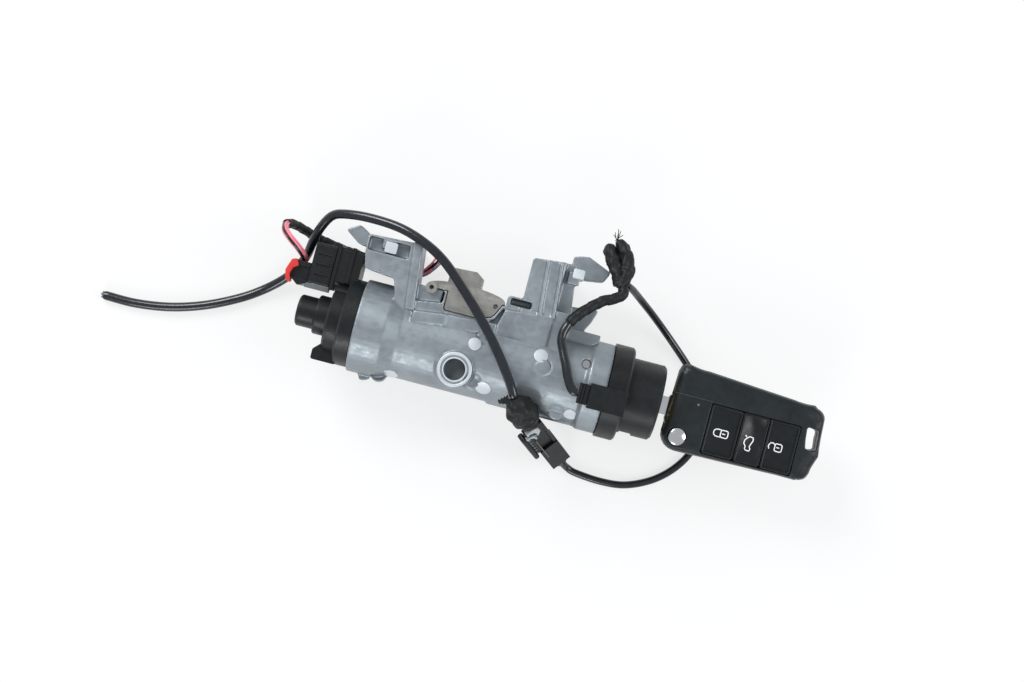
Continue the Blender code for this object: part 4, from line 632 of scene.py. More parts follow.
class Workshop:
    """What every maker needs: the frame's nodes, the finishes and the way that a piece is handed over."""

    def __init__(self, frame: dict) -> None:
        """Build the finishes and remember the frame."""
        self.nodes: dict[str, bpy.types.Object] = frame["nodes"]
        self.slots = {row["node"]: Slot(row["material_slot"]) for row in frame["record"]["subparts"]}
        self.looks = {finish.surface: finish.build() for finish in FINISHES}
        self.bodies = {node: Body(body) for body, members in frame["record"]["behaviour"]["bodies"].items()
                       for node in members}

    def dress(self, *names: str) -> None:
        """Give nodes that keep their own shape the finish of their slot."""
        for name in names:
            mesh = self.nodes[name].data
            mesh.materials.clear()
            mesh.materials.append(self.looks[self.slots[name]])
            LOG.info("dressed %s", name)

    def publish(self, name: str, mesh: bpy.types.Mesh, slot: Slot, body: Body, replaced: Sequence[str] = (),
                trim: Trim | None = None) -> bpy.types.Object:
        """Hand a finished mesh over to the frame.

        Args:
            name: the piece's name.
            mesh: its mesh, drawn in the frame.
            slot: the material slot that it takes its finish from.
            body: the body that it rides on.
            replaced: nodes that it stands for.
            trim: a finish of its own, instead of the slot's.

        Returns:
            The piece.
        """
        piece = bpy.data.objects.new(name, mesh)
        bpy.context.scene.collection.objects.link(piece)
        if not mesh.materials:
            mesh.materials.append(self.looks[trim or slot])
        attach(piece, body.value)
        if replaced:
            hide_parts(*replaced)
        LOG.info("made %s, %d faces", name, len(mesh.polygons))
        return piece

    def make(self, name: str, grids: Iterable[Points], slot: Slot, body: Body = Body.LOCK,
             replaced: Sequence[str] = (), trim: Trim | None = None, crease: float = 35.0,
             ringed: bool = False) -> bpy.types.Object:
        """Publish a piece made of grids; its arguments are those of publish and grid_mesh."""
        return self.publish(name, grid_mesh(name, grids, crease, ringed), slot, body, replaced, trim)

    def welded(self, node: str) -> bpy.types.Mesh:
        """Copy a node's loose triangles into one closed mesh of flat faces."""
        mesh = self.nodes[node].data.copy()
        mesh.materials.clear()
        shape = bmesh.new()
        shape.from_mesh(mesh)
        bmesh.ops.remove_doubles(shape, verts=shape.verts, dist=1e-6)
        bmesh.ops.dissolve_limit(shape, angle_limit=math.radians(1.0), verts=shape.verts, edges=shape.edges)
        bmesh.ops.recalc_face_normals(shape, faces=shape.faces)
        shape.to_mesh(mesh)
        shape.free()
        return mesh

    def skinned(self, piece: bpy.types.Object, voxel: float, smoothing: int, most: int) -> bpy.types.Mesh:
        """Wrap a piece in an even skin, relax it and thin it out.

        Args:
            piece: the piece, whose mesh is replaced.
            voxel: size of the skin's cells.
            smoothing: rounds of relaxing.
            most: triangles that the skin may have.

        Returns:
            The skin.
        """
        look = piece.data.materials[0]
        remesh = piece.modifiers.new("skin", "REMESH")
        remesh.mode = "VOXEL"
        remesh.voxel_size = voxel
        relax = piece.modifiers.new("relax", "SMOOTH")
        relax.iterations = smoothing
        relax.factor = 0.5
        self.settle(piece)
        triangles = sum(len(face.vertices) - 2 for face in piece.data.polygons)
        if triangles > most:
            piece.modifiers.new("thin", "DECIMATE").ratio = most / triangles
            self.settle(piece)
        piece.data.materials.clear()
        piece.data.materials.append(look)
        piece.data.shade_smooth()
        return piece.data

    @staticmethod
    def settle(piece: bpy.types.Object) -> None:
        """Make a piece's modifiers part of its mesh."""
        settled = bpy.data.meshes.new_from_object(piece.evaluated_get(bpy.context.evaluated_depsgraph_get()))
        piece.modifiers.clear()
        piece.data = settled

    def soften(self, node: str, width: float, segments: int = 2, angle: float = 28.0) -> bpy.types.Object:
        """Stand in for a node with its own shape, its edges rounded.

        Args:
            node: the node.
            width: how far the rounding reaches from each edge.
            segments: faces across it.
            angle: edges flatter than this, in degrees, stay as they are.

        Returns:
            The piece.
        """
        mesh = self.welded(node)
        piece = self.publish(node + "_shell", mesh, self.slots[node], self.bodies[node], [node])
        bevel = piece.modifiers.new("edges", "BEVEL")
        bevel.width = width
        bevel.segments = segments
        bevel.limit_method = "ANGLE"
        bevel.angle_limit = math.radians(angle)
        bevel.use_clamp_overlap = True
        normals = piece.modifiers.new("normals", "WEIGHTED_NORMAL")
        normals.keep_sharp = True
        mesh.shade_smooth()
        mesh.set_sharp_from_angle(angle=math.radians(60.0))
        return piece


@dataclass
class Studio:
    """Floor, soft lamps, world and the camera that looks straight down."""

    tilt: float = math.radians(14.69)         # the lock axis against the photograph's rows
    aim: tuple[float, float] = (24.8 * MM, 11.5 * MM)
    height: float = 0.88
    sensor: float = 36.0
    view_width: float = 0.502                 # what the photograph spans at the lock axis
    floor_size: float = 6.0
    floor_colour: Colour = (0.86, 0.87, 0.88)
    white_share: float = 0.72                 # of plain white in what the camera sees of the floor
    room: Colour = (0.93, 0.96, 1.0)
    room_strength: float = 0.50
    # Name, place, size and power in watts
    lamps: tuple = (("back_left", (-0.9, 0.9, 1.0), 0.8, 16.0), ("right", (1.3, 0.2, 0.9), 0.8, 9.0),
                    ("front", (-0.1, -1.3, 0.8), 0.7, 8.0))

    def build(self) -> None:
        """Set the stage."""
        self.camera()
        self.lights()
        self.floor()
        bpy.context.scene.view_settings.view_transform = "Standard"

    def camera(self) -> None:
        """Hang the camera over the part, turned so that the lock axis falls as in the photograph."""
        data = bpy.data.cameras.new("camera")
        data.sensor_width = self.sensor
        data.lens = self.sensor * (self.height - AXIS_HEIGHT) / self.view_width
        data.clip_start = 0.01
        camera = bpy.data.objects.new("camera", data)
        bpy.context.scene.collection.objects.link(camera)
        camera.location = (*self.aim, self.height)
        camera.rotation_euler = (0.0, 0.0, self.tilt)
        bpy.context.scene.camera = camera

    def lights(self) -> None:
        """Hang the soft lamps, all aimed at the part, in a pale world."""
        for name, place, size, power in self.lamps:
            data = bpy.data.lights.new(name, "AREA")
            data.shape = "DISK"
            data.size = size
            data.energy = power
            lamp = bpy.data.objects.new(name, data)
            bpy.context.scene.collection.objects.link(lamp)
            lamp.location = place
            lamp.rotation_euler = (-Vector(place)).to_track_quat("-Z", "Y").to_euler()
        world = bpy.data.worlds.new("room")
        world.use_nodes = True
        world.node_tree.nodes["Background"].inputs["Color"].default_value = (*self.room, 1.0)
        world.node_tree.nodes["Background"].inputs["Strength"].default_value = self.room_strength
        bpy.context.scene.world = world

    def floor(self) -> None:
        """Lay a pale floor that keeps the part's shadow and looks white to the camera and to metal."""
        graph = Graph("floor")
        graph.shader.inputs["Base Color"].default_value = (*self.floor_colour, 1.0)
        graph.shader.inputs["Roughness"].default_value = 0.9
        path = graph.node("ShaderNodeLightPath")
        seen = graph.maths("MAXIMUM", path.outputs["Is Camera Ray"], path.outputs["Is Glossy Ray"])
        seen = graph.maths("MAXIMUM", seen, path.outputs["Is Transmission Ray"])
        share = graph.maths("MULTIPLY", seen, self.white_share)
        glow = graph.node("ShaderNodeEmission", {"Color": (1.0, 1.0, 1.0, 1.0), "Strength": 1.0}).outputs[0]
        mixed = graph.node("ShaderNodeMixShader", {0: share, 1: graph.shader.outputs[0], 2: glow}).outputs[0]
        graph.tree.links.new(mixed, graph.tree.nodes["Material Output"].inputs["Surface"])
        half = self.floor_size / 2
        mesh = bpy.data.meshes.new("floor")
        mesh.from_pydata([(-half, -half, 0.0), (half, -half, 0.0), (half, half, 0.0), (-half, half, 0.0)], [],
                         [(0, 1, 2, 3)])
        mesh.materials.append(graph.material)
        floor = bpy.data.objects.new("floor", mesh)
        bpy.context.scene.collection.objects.link(floor)


@dataclass
class Lead:
    """One free lead: its route, its thickness and what is on its end."""

    name: str
    route: Points
    diameter: float
    far_end: str
    slot: Slot = Slot.JACKET
    share: tuple[float, float] = (0.0, 1.0)
    wrap_pitch: float = 0.0               # advance of the tape per turn, or 0 for a plain jacket
    wrap_step: float = 0.0                # height of the tape's overlapping edge
    taped: tuple[float, float] = (0.0, 1.0)   # share under the tape, where the rest is one bare wire
    wire: float = 1.3 * MM
    sides: int = 28

    def path(self) -> Points:
        """The centre line, read evenly off the smooth curve through the route."""
        return even_path(smooth_curve(self.route), 0.6 * MM if self.wrap_pitch else 1.2 * MM, self.share)

    def build(self, shop: Workshop, on_it: Sequence[object] = ()) -> bpy.types.Object:
        """A wrapped lead's radius falls by the step over each turn of tape and jumps back: radius
        minus step times the fraction of (length over pitch plus turn).

        Args:
            shop: the workshop.
            on_it: separate pieces on the lead; not used.

        Returns:
            The lead.
        """
        path = self.path()
        walked = arc_lengths(path)
        radius = np.full((len(path), self.sides), self.diameter / 2)
        if self.wrap_pitch:
            turn = np.linspace(0.0, 1.0, self.sides, endpoint=False)
            radius -= self.wrap_step * np.mod(walked[:, None] / self.wrap_pitch + turn[None, :], 1.0)
        along = walked / walked[-1]
        radius[(along < self.taped[0]) | (along > self.taped[1])] = self.wire / 2
        radius[[0, -1]] -= 0.25 * MM
        piece = shop.make(self.name + "_run", [tube_grid(path, radius, self.sides)], self.slot,
                          replaced=[self.name])
        return piece


MAIN_ROUTE = lock_points((
    (32.42, -13.95, 26.3), (31.9, -13.2, 26.6), (28.6, -7.6, 26.8), (19.5, 4.7, 24.6), (9.0, 16.6, 22.6),
    (-3.6, 29.2, 21.6), (-15.9, 39.9, 21.0), (-27.2, 46.2, 20.2), (-40.8, 50.4, 17.2), (-56.6, 51.6, 12.0),
    (-69.3, 50.6, 7.0), (-75.7, 48.3, 3.0), (-80.1, 41.9, -2.0), (-82.8, 34.6, -7.5), (-85.0, 26.6, -14.2),
    (-89.1, 19.4, -19.8), (-93.8, 13.2, -24.4), (-102.7, 5.3, -27.3), (-113.8, -2.3, -27.7),
    (-130.0, -10.3, -27.7), (-146.9, -15.7, -27.7), (-164.5, -18.3, -27.7), (-180.7, -18.3, -27.7)))
LOOP_ROUTE = lock_points((
    (64.5, -41.2, -23.6), (65.4, -41.9, -25.0), (67.8, -43.3, -27.3), (72.4, -44.9, -28.15),
    (85.9, -45.9, -28.15), (98.6, -44.5, -28.15), (111.2, -38.6, -28.15), (120.9, -29.7, -28.15),
    (127.0, -18.8, -28.15), (129.1, -5.1, -28.15), (125.3, 9.6, -28.15), (115.7, 20.3, -27.9),
    (103.3, 31.2, -24.6), (91.0, 40.8, -17.0), (80.6, 47.8, -7.0), (75.8, 50.6, 0.4), (72.2, 51.9, 5.8)))
COIL_ROUTE = lock_points((
    (61.0, -4.2, 26.3), (58.6, -4.0, 26.3), (55.2, 0.8, 25.6), (52.4, 7.2, 23.9), (49.2, 13.6, 21.6),
    (47.4, 19.4, 20.2), (48.6, 25.6, 19.4), (53.2, 32.6, 17.6), (61.6, 40.6, 14.8), (67.6, 43.8, 13.9),
    (70.9, 46.9, 12.95), (70.42, 49.9, 11.86)))
PLUG_ROUTE = lock_points((
    (-83.2, 24.0, -1.0), (-84.6, 26.6, 2.4), (-87.8, 29.6, 5.8), (-92.2, 32.8, 6.5), (-96.0, 36.0, 3.0),
    (-97.4, 39.0, -5.0), (-95.2, 40.2, -12.0), (-90.5, 39.2, -18.5), (-82.9, 36.9, -24.0),
    (-71.1, 34.9, -26.6), (-54.9, 33.0, -27.0), (-38.8, 31.6, -27.0), (-28.4, 32.6, -26.4),
    (-23.6, 37.4, -25.4), (-20.4, 43.4, -24.2)))

CONNECTOR_START = (38.4, -20.6, 19.6)
CONNECTOR_ALONG = (27.6, -21.8, -45.6)
BOOT_START = (32.6, -14.2, 26.2)
BOOT_BEND = -6.1                          # on the connector's line, in millimetres from its start
BOOT_END = 9.4
BOOT_RADII = (2.8, 4.4, 6.0, 7.1, 7.6, 7.4, 6.7, 5.9, 5.2)
# Slabs on the connector's own line, in millimetres: corners, low, high and radius of the rim
LEVER = (
    (box_corners((15.4, -9.2), (35.6, -6.5), (1.4, 1.3, 1.2, 1.0)), -2.2, 2.8, 1.0),
    *((box_corners((x, -7.2), (x + 3.0, -4.2), 0.3), -1.6, 1.8, 0.3) for x in (16.5, 23.0)))
LATCH_TEETH = (
    *((((x, -6.5, 0.3), (x + 1.5, -6.5, 0.3), (x + 2.3, -3.5, 0.3), (x + 0.7, -3.5, 0.3)),
       0.6, 3.4 - 0.06 * (x - 17.0), 0.4) for x in np.arange(17.0, 33.0, 2.7)),
    (box_corners((19.5, -3.5), (37.0, -3.0), 0.15), 3.6, 4.75, 0.12))
LATCH_TAB = (
    (((9.0, -4.9, 0.5), (11.3, -5.2, 0.5), (11.2, -1.9, 0.9), (12.7, -1.2, 0.6), (14.0, -2.0, 0.4),
      (15.6, -0.5, 0.4), (12.9, 1.9, 0.9), (9.2, 1.0, 1.6)), 3.4, 5.6, 0.5),
    (((13.6, -6.4, 0.4), (15.0, -6.6, 0.4), (15.4, -3.8, 0.9), (18.4, -2.4, 0.4), (17.6, -1.6, 0.4),
      (14.2, -2.6, 1.2)), 3.0, 4.9, 0.4))
SHORT_LOBE = lock_points(((58.4, 69.4, 4.6), (60.6, 64.9, 6.0), (63.6, 59.6, 8.2), (66.4, 54.6, 10.2),
                          (67.6, 50.4, 11.6)))
LONG_LOBE = lock_points(((61.9, 72.2, 3.8), (65.2, 69.4, 4.4), (68.6, 64.4, 6.0), (70.2, 58.6, 8.2),
                         (69.8, 53.4, 10.6), (68.4, 49.6, 12.0)))
# Each lobe's line, radii and length over which its tip closes, both in millimetres
LOBES = ((SHORT_LOBE, (3.0, 3.5, 3.5, 3.4, 3.1, 2.5), 3.0),
         (LONG_LOBE, (2.4, 3.4, 3.8, 4.0, 3.8, 3.4, 2.6), 2.6))
# Where each frayed wire runs from the long lobe's tip
FRAYS = ((-0.6, 5.2, 0.4), (1.0, 4.6, 0.9), (0.2, 3.4, 1.2), (-1.6, 3.4, 0.1), (2.0, 3.0, 0.2),
         (-2.6, 2.0, 0.8))


@dataclass(frozen=True)
class Strand:
    """One thin wire of a bundle."""

    trim: Trim | None
    turn: float                           # its place round the bundle, as a share of a turn
    cut: float = 1.0                      # share of the route where its free end is cut


@dataclass
class Harness:
    """The leads and what is on them: taped boot, inline connector, splice and loose strands."""

    sleeve_share: float = 0.52            # part of the coil's lead in its plain sleeve
    tape_pitch: float = 6.0 * MM
    tape_step: float = 0.35 * MM
    taped: tuple[float, float] = (0.25, 0.84)
    wire: float = 1.15 * MM
    bundle: float = 1.25 * MM             # how far the strands lie from the middle of their bundle
    fan: float = 0.7 * MM                 # how much further their cut ends spread
    lay: float = 0.12                     # share of a turn that they twist by
    cores: int = 5                        # wires in the main lead's cut end
    core: float = 0.62 * MM               # radius of each, and of the ring that they lie in
    core_ring: float = 1.25 * MM
    rough: float = 0.13                   # share of a taped lump's radius that swells and dips
    lump_pitch: float = 3.6 * MM          # advance of its tape per turn
    lump_sides: int = 40
    lumps: tuple = ((3, 9, 0.0), (5, -16, 1.3), (2, 27, 0.4))   # its waves: around, along and start
    hair: float = 0.2 * MM                # radius of a frayed wire
    flap: tuple = (6.0, 2.2, 2.0, 0.3)    # torn tape's length, half width, drop and thickness
    strands: tuple[Strand, ...] = (
        Strand(Trim.PINK, 0.02, 0.97), Strand(Trim.PINK, 0.22, 0.94), Strand(Trim.VIOLET, 0.38, 1.0),
        Strand(Trim.PINK, 0.55, 0.985), Strand(None, 0.72, 0.96), Strand(Trim.PINK, 0.88, 1.0))

    def build(self, shop: Workshop) -> None:
        """Make the leads, what is on them and the bare wires."""
        connector = [self.boot(shop), *self.connector(shop), self.cut_end(shop)]
        Lead("main_lead", MAIN_ROUTE, 4.6 * MM, "bare").build(shop, connector)
        Lead("loop_lead", LOOP_ROUTE, 3.7 * MM, "fitting").build(shop, self.splice(shop))
        Lead("coil_lead", COIL_ROUTE, 4.4 * MM, "object", share=(0.0, self.sleeve_share)).build(shop)
        Lead("taped_loom", COIL_ROUTE, 5.6 * MM, "object", Slot.TAPE, (self.sleeve_share, 1.0),
             self.tape_pitch, self.tape_step).build(shop)
        Lead("plug_loom", PLUG_ROUTE, 5.0 * MM, "bare", Slot.TAPE, (0.0, 1.0), self.tape_pitch,
             self.tape_step, self.taped).build(shop, self.bare_wires(shop))

    def bare_wires(self, shop: Workshop) -> list[bpy.types.Object]:
        """Lay the coloured wires round the loom's own, before the tape and after it.

        A wire is the route plus a ring about it: the bundle's radius times (cosine of its turn
        across the side direction plus sine of it across the up direction). Past the tape the ring
        grows with the square of the way to the end.
        """
        route = smooth_curve(PLUG_ROUTE)
        near = even_path(route, 0.8 * MM, (0.0, self.taped[0] + 0.02))
        made = []
        for index, strand in enumerate(self.strands, 1):
            far = even_path(route, 0.8 * MM, (self.taped[1] - 0.02, strand.cut))
            grids = []
            for path, spread in ((near, 0.0), (far, self.fan)):
                side, up = path_frames(path)
                u = np.linspace(0.0, 1.0, len(path))[:, None]
                turn = 2 * np.pi * (strand.turn + self.lay * u)
                ring = (self.bundle + spread * u ** 2) * (np.cos(turn) * side + np.sin(turn) * up)
                grids.append(tube_grid(path + ring, self.wire / 2, 14))
            made.append(shop.make(f"bare_wire_{index}", grids, Slot.JACKET, trim=strand.trim))
        return made

    def cut_end(self, shop: Workshop) -> bpy.types.Object:
        """Wires that show in the main lead's cut end: short tubes in a ring about its last point."""
        path = smooth_curve(MAIN_ROUTE)
        last, ahead = path[-1], path[-1] - path[-2]
        ahead = ahead / np.linalg.norm(ahead)
        side, up = np.array((0.0, 1.0, 0.0)), np.array((0.0, 0.0, 1.0))
        turn = 2 * np.pi * np.arange(self.cores) / self.cores
        grids = [tube_grid(last + np.linspace(-0.5, 1.0 + 0.3 * (k % 2), 4)[:, None] * MM * ahead
                           + self.core_ring * (np.cos(a) * side + np.sin(a) * up), self.core, 12)
                 for k, a in enumerate(turn)]
        return shop.make("cut_wires", grids, Slot.JACKET, trim=Trim.GREY)

    def wrapped(self, path: Points, radii: Sequence[float], blunt: float = 0.0) -> Points:
        """Grid of something lumpy, wrapped in tape.

        The radius runs through the given ones, swells and dips by a share that is a sum of three
        waves along and around, and falls by the tape's step over each turn.

        Args:
            path: the centre line.
            radii: radii at even shares of the path, in millimetres.
            blunt: length over which its first end closes in a quarter circle, in millimetres.

        Returns:
            The grid.
        """
        walked = arc_lengths(path)[:, None]
        u = walked / walked[-1]
        turn = np.linspace(0.0, 2 * np.pi, self.lump_sides, endpoint=False)[None, :]
        lumps = sum(np.sin(around * turn + along * u + start) for around, along, start in self.lumps) / 3
        size = np.interp(u, np.linspace(0.0, 1.0, len(radii)), [radius * MM for radius in radii])
        if blunt:
            closing = np.clip(walked / (blunt * MM), 0.02, 1.0)
            size = size * np.sqrt(closing * (2 - closing))
        step = self.tape_step * np.mod(walked / self.lump_pitch + turn / (2 * np.pi), 1.0)
        return tube_grid(path, size * (1 + self.rough * lumps) - step, self.lump_sides)

    def boot(self, shop: Workshop) -> bpy.types.Object:
        """Taped boot that turns the main lead down into the connector.

        Its centre line is the parabola from the lead's end to the connector whose two ends point
        at the bend.
        """
        along = np.asarray(CONNECTOR_ALONG) / np.linalg.norm(CONNECTOR_ALONG)
        start = np.asarray(BOOT_START)
        bend, end = (np.asarray(CONNECTOR_START) + reach * along for reach in (BOOT_BEND, BOOT_END))
        u = np.linspace(0.0, 1.0, 60)[:, None]
        path = lock_points(start * (1 - u) ** 2 + bend * 2 * u * (1 - u) + end * u ** 2)
        grid = self.wrapped(path, BOOT_RADII)
        flap = self.torn_tape((start + bend) / 2 + (-3.4, 0.6, 3.2), (-0.8, -0.5, -0.2), (0.2, 0.1, 1.0))
        return shop.make("taped_boot_wrap", [grid, flap], Slot.TAPE, replaced=["taped_boot"], crease=50.0)

    def torn_tape(self, origin: Sequence[float], along: Sequence[float], up: Sequence[float]) -> Points:
        """Loose end of tape: a thin strip whose torn edge waves, curling down as it runs out."""
        u = np.linspace(0.0, 1.0, 24)
        length, half, drop, thickness = self.flap
        edge = half * (1 - 0.75 * u) + 0.28 * np.sin(23 * u) + 0.2 * np.sin(41 * u + 1.0)
        lower = np.stack([length * u, -edge - 0.6 * u, -drop * u ** 2], axis=1)
        upper = np.stack([length * u, edge, -drop * u ** 2 + 0.5 * np.sin(5 * u)], axis=1)
        thick = np.array((0.0, 0.0, thickness))
        rows = np.stack([lower, upper, upper + thick, lower + thick], axis=1)
        return in_frame(rows, origin, along, up)

    def connector(self, shop: Workshop) -> list[bpy.types.Object]:
        """Both halves of the connector, its side lever, its latch channel and the pale tab."""
        made = [shop.soften("inline_socket", 0.5 * MM, 3), shop.soften("inline_plug", 0.8 * MM, 3)]
        for name, slabs, replaced, trim in (("connector_lever", LEVER, (), None),
                                            ("latch_teeth", LATCH_TEETH, (), Trim.GREY),
                                            ("latch_tab", LATCH_TAB, ("inline_latch",), Trim.PALE)):
            grids = [in_frame(slab(*sizes), CONNECTOR_START, CONNECTOR_ALONG, (0.0, 0.0, 1.0))
                     for sizes in slabs]
            made.append(shop.make(name, grids, Slot.BLACK, replaced=replaced, trim=trim))
        return made

    def splice(self, shop: Workshop) -> list[bpy.types.Object]:
        """Folded splice of the two leads: two taped lobes, and the frayed wires at its tip."""
        lobes = [self.wrapped(even_path(smooth_curve(line), 0.5 * MM), radii, blunt)
                 for line, radii, blunt in LOBES]
        tip, u = LONG_LOBE[0], np.linspace(0.0, 1.0, 12)[:, None]
        bow = np.array((0.35, 0.0, 0.2)) * MM
        hairs = [tube_grid(tip - 0.25 * end + (1.25 * end) * u + bow * np.sin(np.pi * u + index),
                           self.hair, 6) for index, end in enumerate(np.array(FRAYS) * MM)]
        return [shop.make("splice_wrap", lobes, Slot.TAPE, replaced=["taped_splice"], crease=50.0),
                shop.make("splice_fray", hairs, Slot.TAPE)]


@dataclass
class Casting:
    """Die-cast housing, its skin rounded the way a casting's is, with bright ejector marks."""

    voxel: float = 0.5 * MM
    smoothing: int = 4
    most_triangles: int = 190000
    # Marks that the solid has, and where the photograph shows them: x, y and radius in millimetres
    sunk: tuple = ((11.5, 10.2, 3.2), (10.8, -12.0, 3.9), (42.3, 3.3, 3.6), (-34.0, -20.6, 4.0),
                   (54.0, -16.6, 3.6))
    marks: tuple = ((8.0, 5.6, 3.2), (17.1, -13.8, 3.9), (40.1, 8.1, 3.5), (-28.5, -18.8, 3.9),
                    (61.0, -15.6, 3.4))
    rise: float = 0.9                     # of the solid's marks
    above: float = 6.0                    # their least height over the lock axis
    face: tuple[float, float, float] = (-2.5, 0.4, 0.3)   # a shown mark's foot, height and rim
    # Bright square faces of the arms: x, y and half of each side, and the radius of their corners
    facets: tuple = ((-42.8, 40.2, 3.0, 2.7), (47.9, 50.9, 2.8, 2.5))
    facet_corner: float = 0.8
    # Blind bore's middle, and the rings round it: radius, half of the width, height and rise
    bore: tuple[float, float] = (1.6, -8.6)
    rings: tuple = ((7.7, 0.75, 22.5, 0.3), (5.6, 0.35, 22.45, 0.3))
    # The bore's floor is painted dark grey: painted shade inside the bore.
    floor: tuple = (5.3, (14.8, 16.1, 0.2))   # radius of the bore's floor, its foot, height and rim

    def build(self, shop: Workshop) -> None:
        """Skin the housing and set its marks."""
        piece = shop.publish("housing_casting", shop.welded("lock_housing"), Slot.CAST, Body.LOCK,
                             ["lock_housing"])
        skin = shop.skinned(piece, self.voxel, self.smoothing, self.most_triangles)
        self.flatten(skin)
        self.faces(shop, piece)
        self.boss(shop)

    def flatten(self, skin: bpy.types.Mesh) -> None:
        """Lower the solid's own marks.

        A point over a mark sinks by the rise times a share, 0.8 less 0.9 times the millimetres that
        it lies outside the mark, held between nought and one.
        """
        points = places(skin)
        upper = points[:, 2] > AXIS_HEIGHT + self.above * MM
        for x, y, radius in self.sunk:
            away = np.hypot(points[:, 0] - x * MM, points[:, 1] - y * MM) / MM - radius
            points[:, 2] -= upper * self.rise * MM * np.clip(0.8 - 0.9 * away, 0.0, 1.0)
        moved(skin, points)

    def faces(self, shop: Workshop, piece: bpy.types.Object) -> None:
        """Round faces that the ejector pins left and square ones, each lying on the skin under it."""
        skin = BVHTree.FromObject(piece, bpy.context.evaluated_depsgraph_get())
        grids = []
        outlines = [((x, y), circle((0.0, 0.0), radius)) for x, y, radius in self.marks]
        outlines += [((x, y), rounded_outline(box_corners((-a, -b), (a, b), self.facet_corner), 5))
                     for x, y, a, b in self.facets]
        for (x, y), outline in outlines:
            under, upright = skin.ray_cast(Vector((x * MM, y * MM, 0.2)), Vector((0.0, 0.0, -1.0)))[:2]
            origin = (under.x / MM, under.y / MM, (under.z - AXIS_HEIGHT) / MM)
            up = Vector((0.0, upright.y, max(upright.z, 0.35)))
            grids.append(in_frame(rimmed_grid(outline, rim(*self.face)), origin, (1.0, 0.0, 0.0), up))
        shop.make("ejector_faces", grids, Slot.CAST, trim=Trim.DOT)

    def boss(self, shop: Workshop) -> None:
        """Machined rings round the blind bore, and its floor, painted dark grey as the shade inside the bore.

        A ring is a flattened circle carried round the bore: its distance from the bore's axis is
        the radius plus half its width times the cosine of the turn, its height its own plus the
        rise times the sine.
        """
        x, y = self.bore
        around = np.linspace(0.0, 2 * np.pi, 96, endpoint=False)[:, None]
        turn = np.linspace(0.0, 2 * np.pi, 16, endpoint=False)[None, :]
        rings = []
        for radius, half, height, rise in self.rings:
            reach = radius + half * np.cos(turn) + 0 * around
            rings.append(lock_points(np.stack([x + reach * np.cos(around), y + reach * np.sin(around),
                                               height + rise * np.sin(turn) + 0 * around], axis=2)))
        shop.make("boss_rings", rings, Slot.CAST, trim=Trim.DOT, ringed=True)
        # Painted shade: a dark grey disc at the bottom of the bore.
        floor = lock_points(rimmed_grid(circle(self.bore, self.floor[0]), rim(*self.floor[1])))
        shop.make("bore_floor_shade", [floor], Slot.CAST, trim=Trim.GREY)


@dataclass
class SteeringBolt:
    """Bolt cover and the bolt behind it."""

    def build(self, shop: Workshop) -> None:
        """Round their edges."""
        shop.soften("bolt_cover", 0.3 * MM)
        shop.soften("lock_bolt", 0.5 * MM, 3)
        shop.dress("bolt_spring", "sleeve_pin")


@dataclass
class IgnitionSwitch:
    """Switch body, cap, main plug and what turns inside."""

    # Corners x, y and radius of the plug's curved red clip, and of the pale strip on its side
    clip: tuple = ((-86.2, 24.0, 0.8), (-88.6, 23.2, 0.8), (-90.6, 17.5, 1.5), (-89.6, 13.0, 1.0),
                   (-87.6, 11.6, 0.6), (-87.0, 12.6, 0.4), (-88.2, 16.0, 0.8), (-87.2, 19.2, 0.8),
                   (-84.8, 20.8, 0.8))
    strip: tuple = ((-80.3, 11.4, 0.5), (-68.0, 11.4, 0.5), (-68.0, 13.9, 0.5), (-80.3, 13.9, 0.5))

    def build(self, shop: Workshop) -> None:
        """Round the mouldings' edges and dress the rest."""
        for name in ("switch_body", "switch_cap", "main_plug", "plug_wire_cover"):
            shop.soften(name, 0.35 * MM, 3)
        clip = lock_points(slab(self.clip, 2.0, 7.8, 0.35))
        shop.make("plug_clip", [clip], Slot.RED, Body.PLUG_SLIDE, ["plug_lock"])
        strip = lock_points(slab(self.strip, 0.0, 6.0, 0.3, 4))
        shop.make("plug_strip", [strip], Slot.BLACK, trim=Trim.GREY)
        shop.dress("switch_screw_1", "switch_screw_2", "switch_rotor", "drive_shaft")


@dataclass
class ReaderCoil:
    """Coil ring over the lock's nose, its winding and its plug."""

    def build(self, shop: Workshop) -> None:
        """Round the mouldings' edges."""
        shop.soften("reader_coil_case", 0.4 * MM, 3)
        shop.soften("coil_plug", 0.25 * MM)
        shop.dress("coil_winding")


@dataclass
class LockCylinder:
    """Brass sleeve, core and wafers."""

    def build(self, shop: Workshop) -> None:
        """Dress the pieces that are hidden but for the keyhole."""
        shop.dress("cylinder_sleeve", "cylinder_core", *(f"wafer_{index}" for index in range(1, 9)))


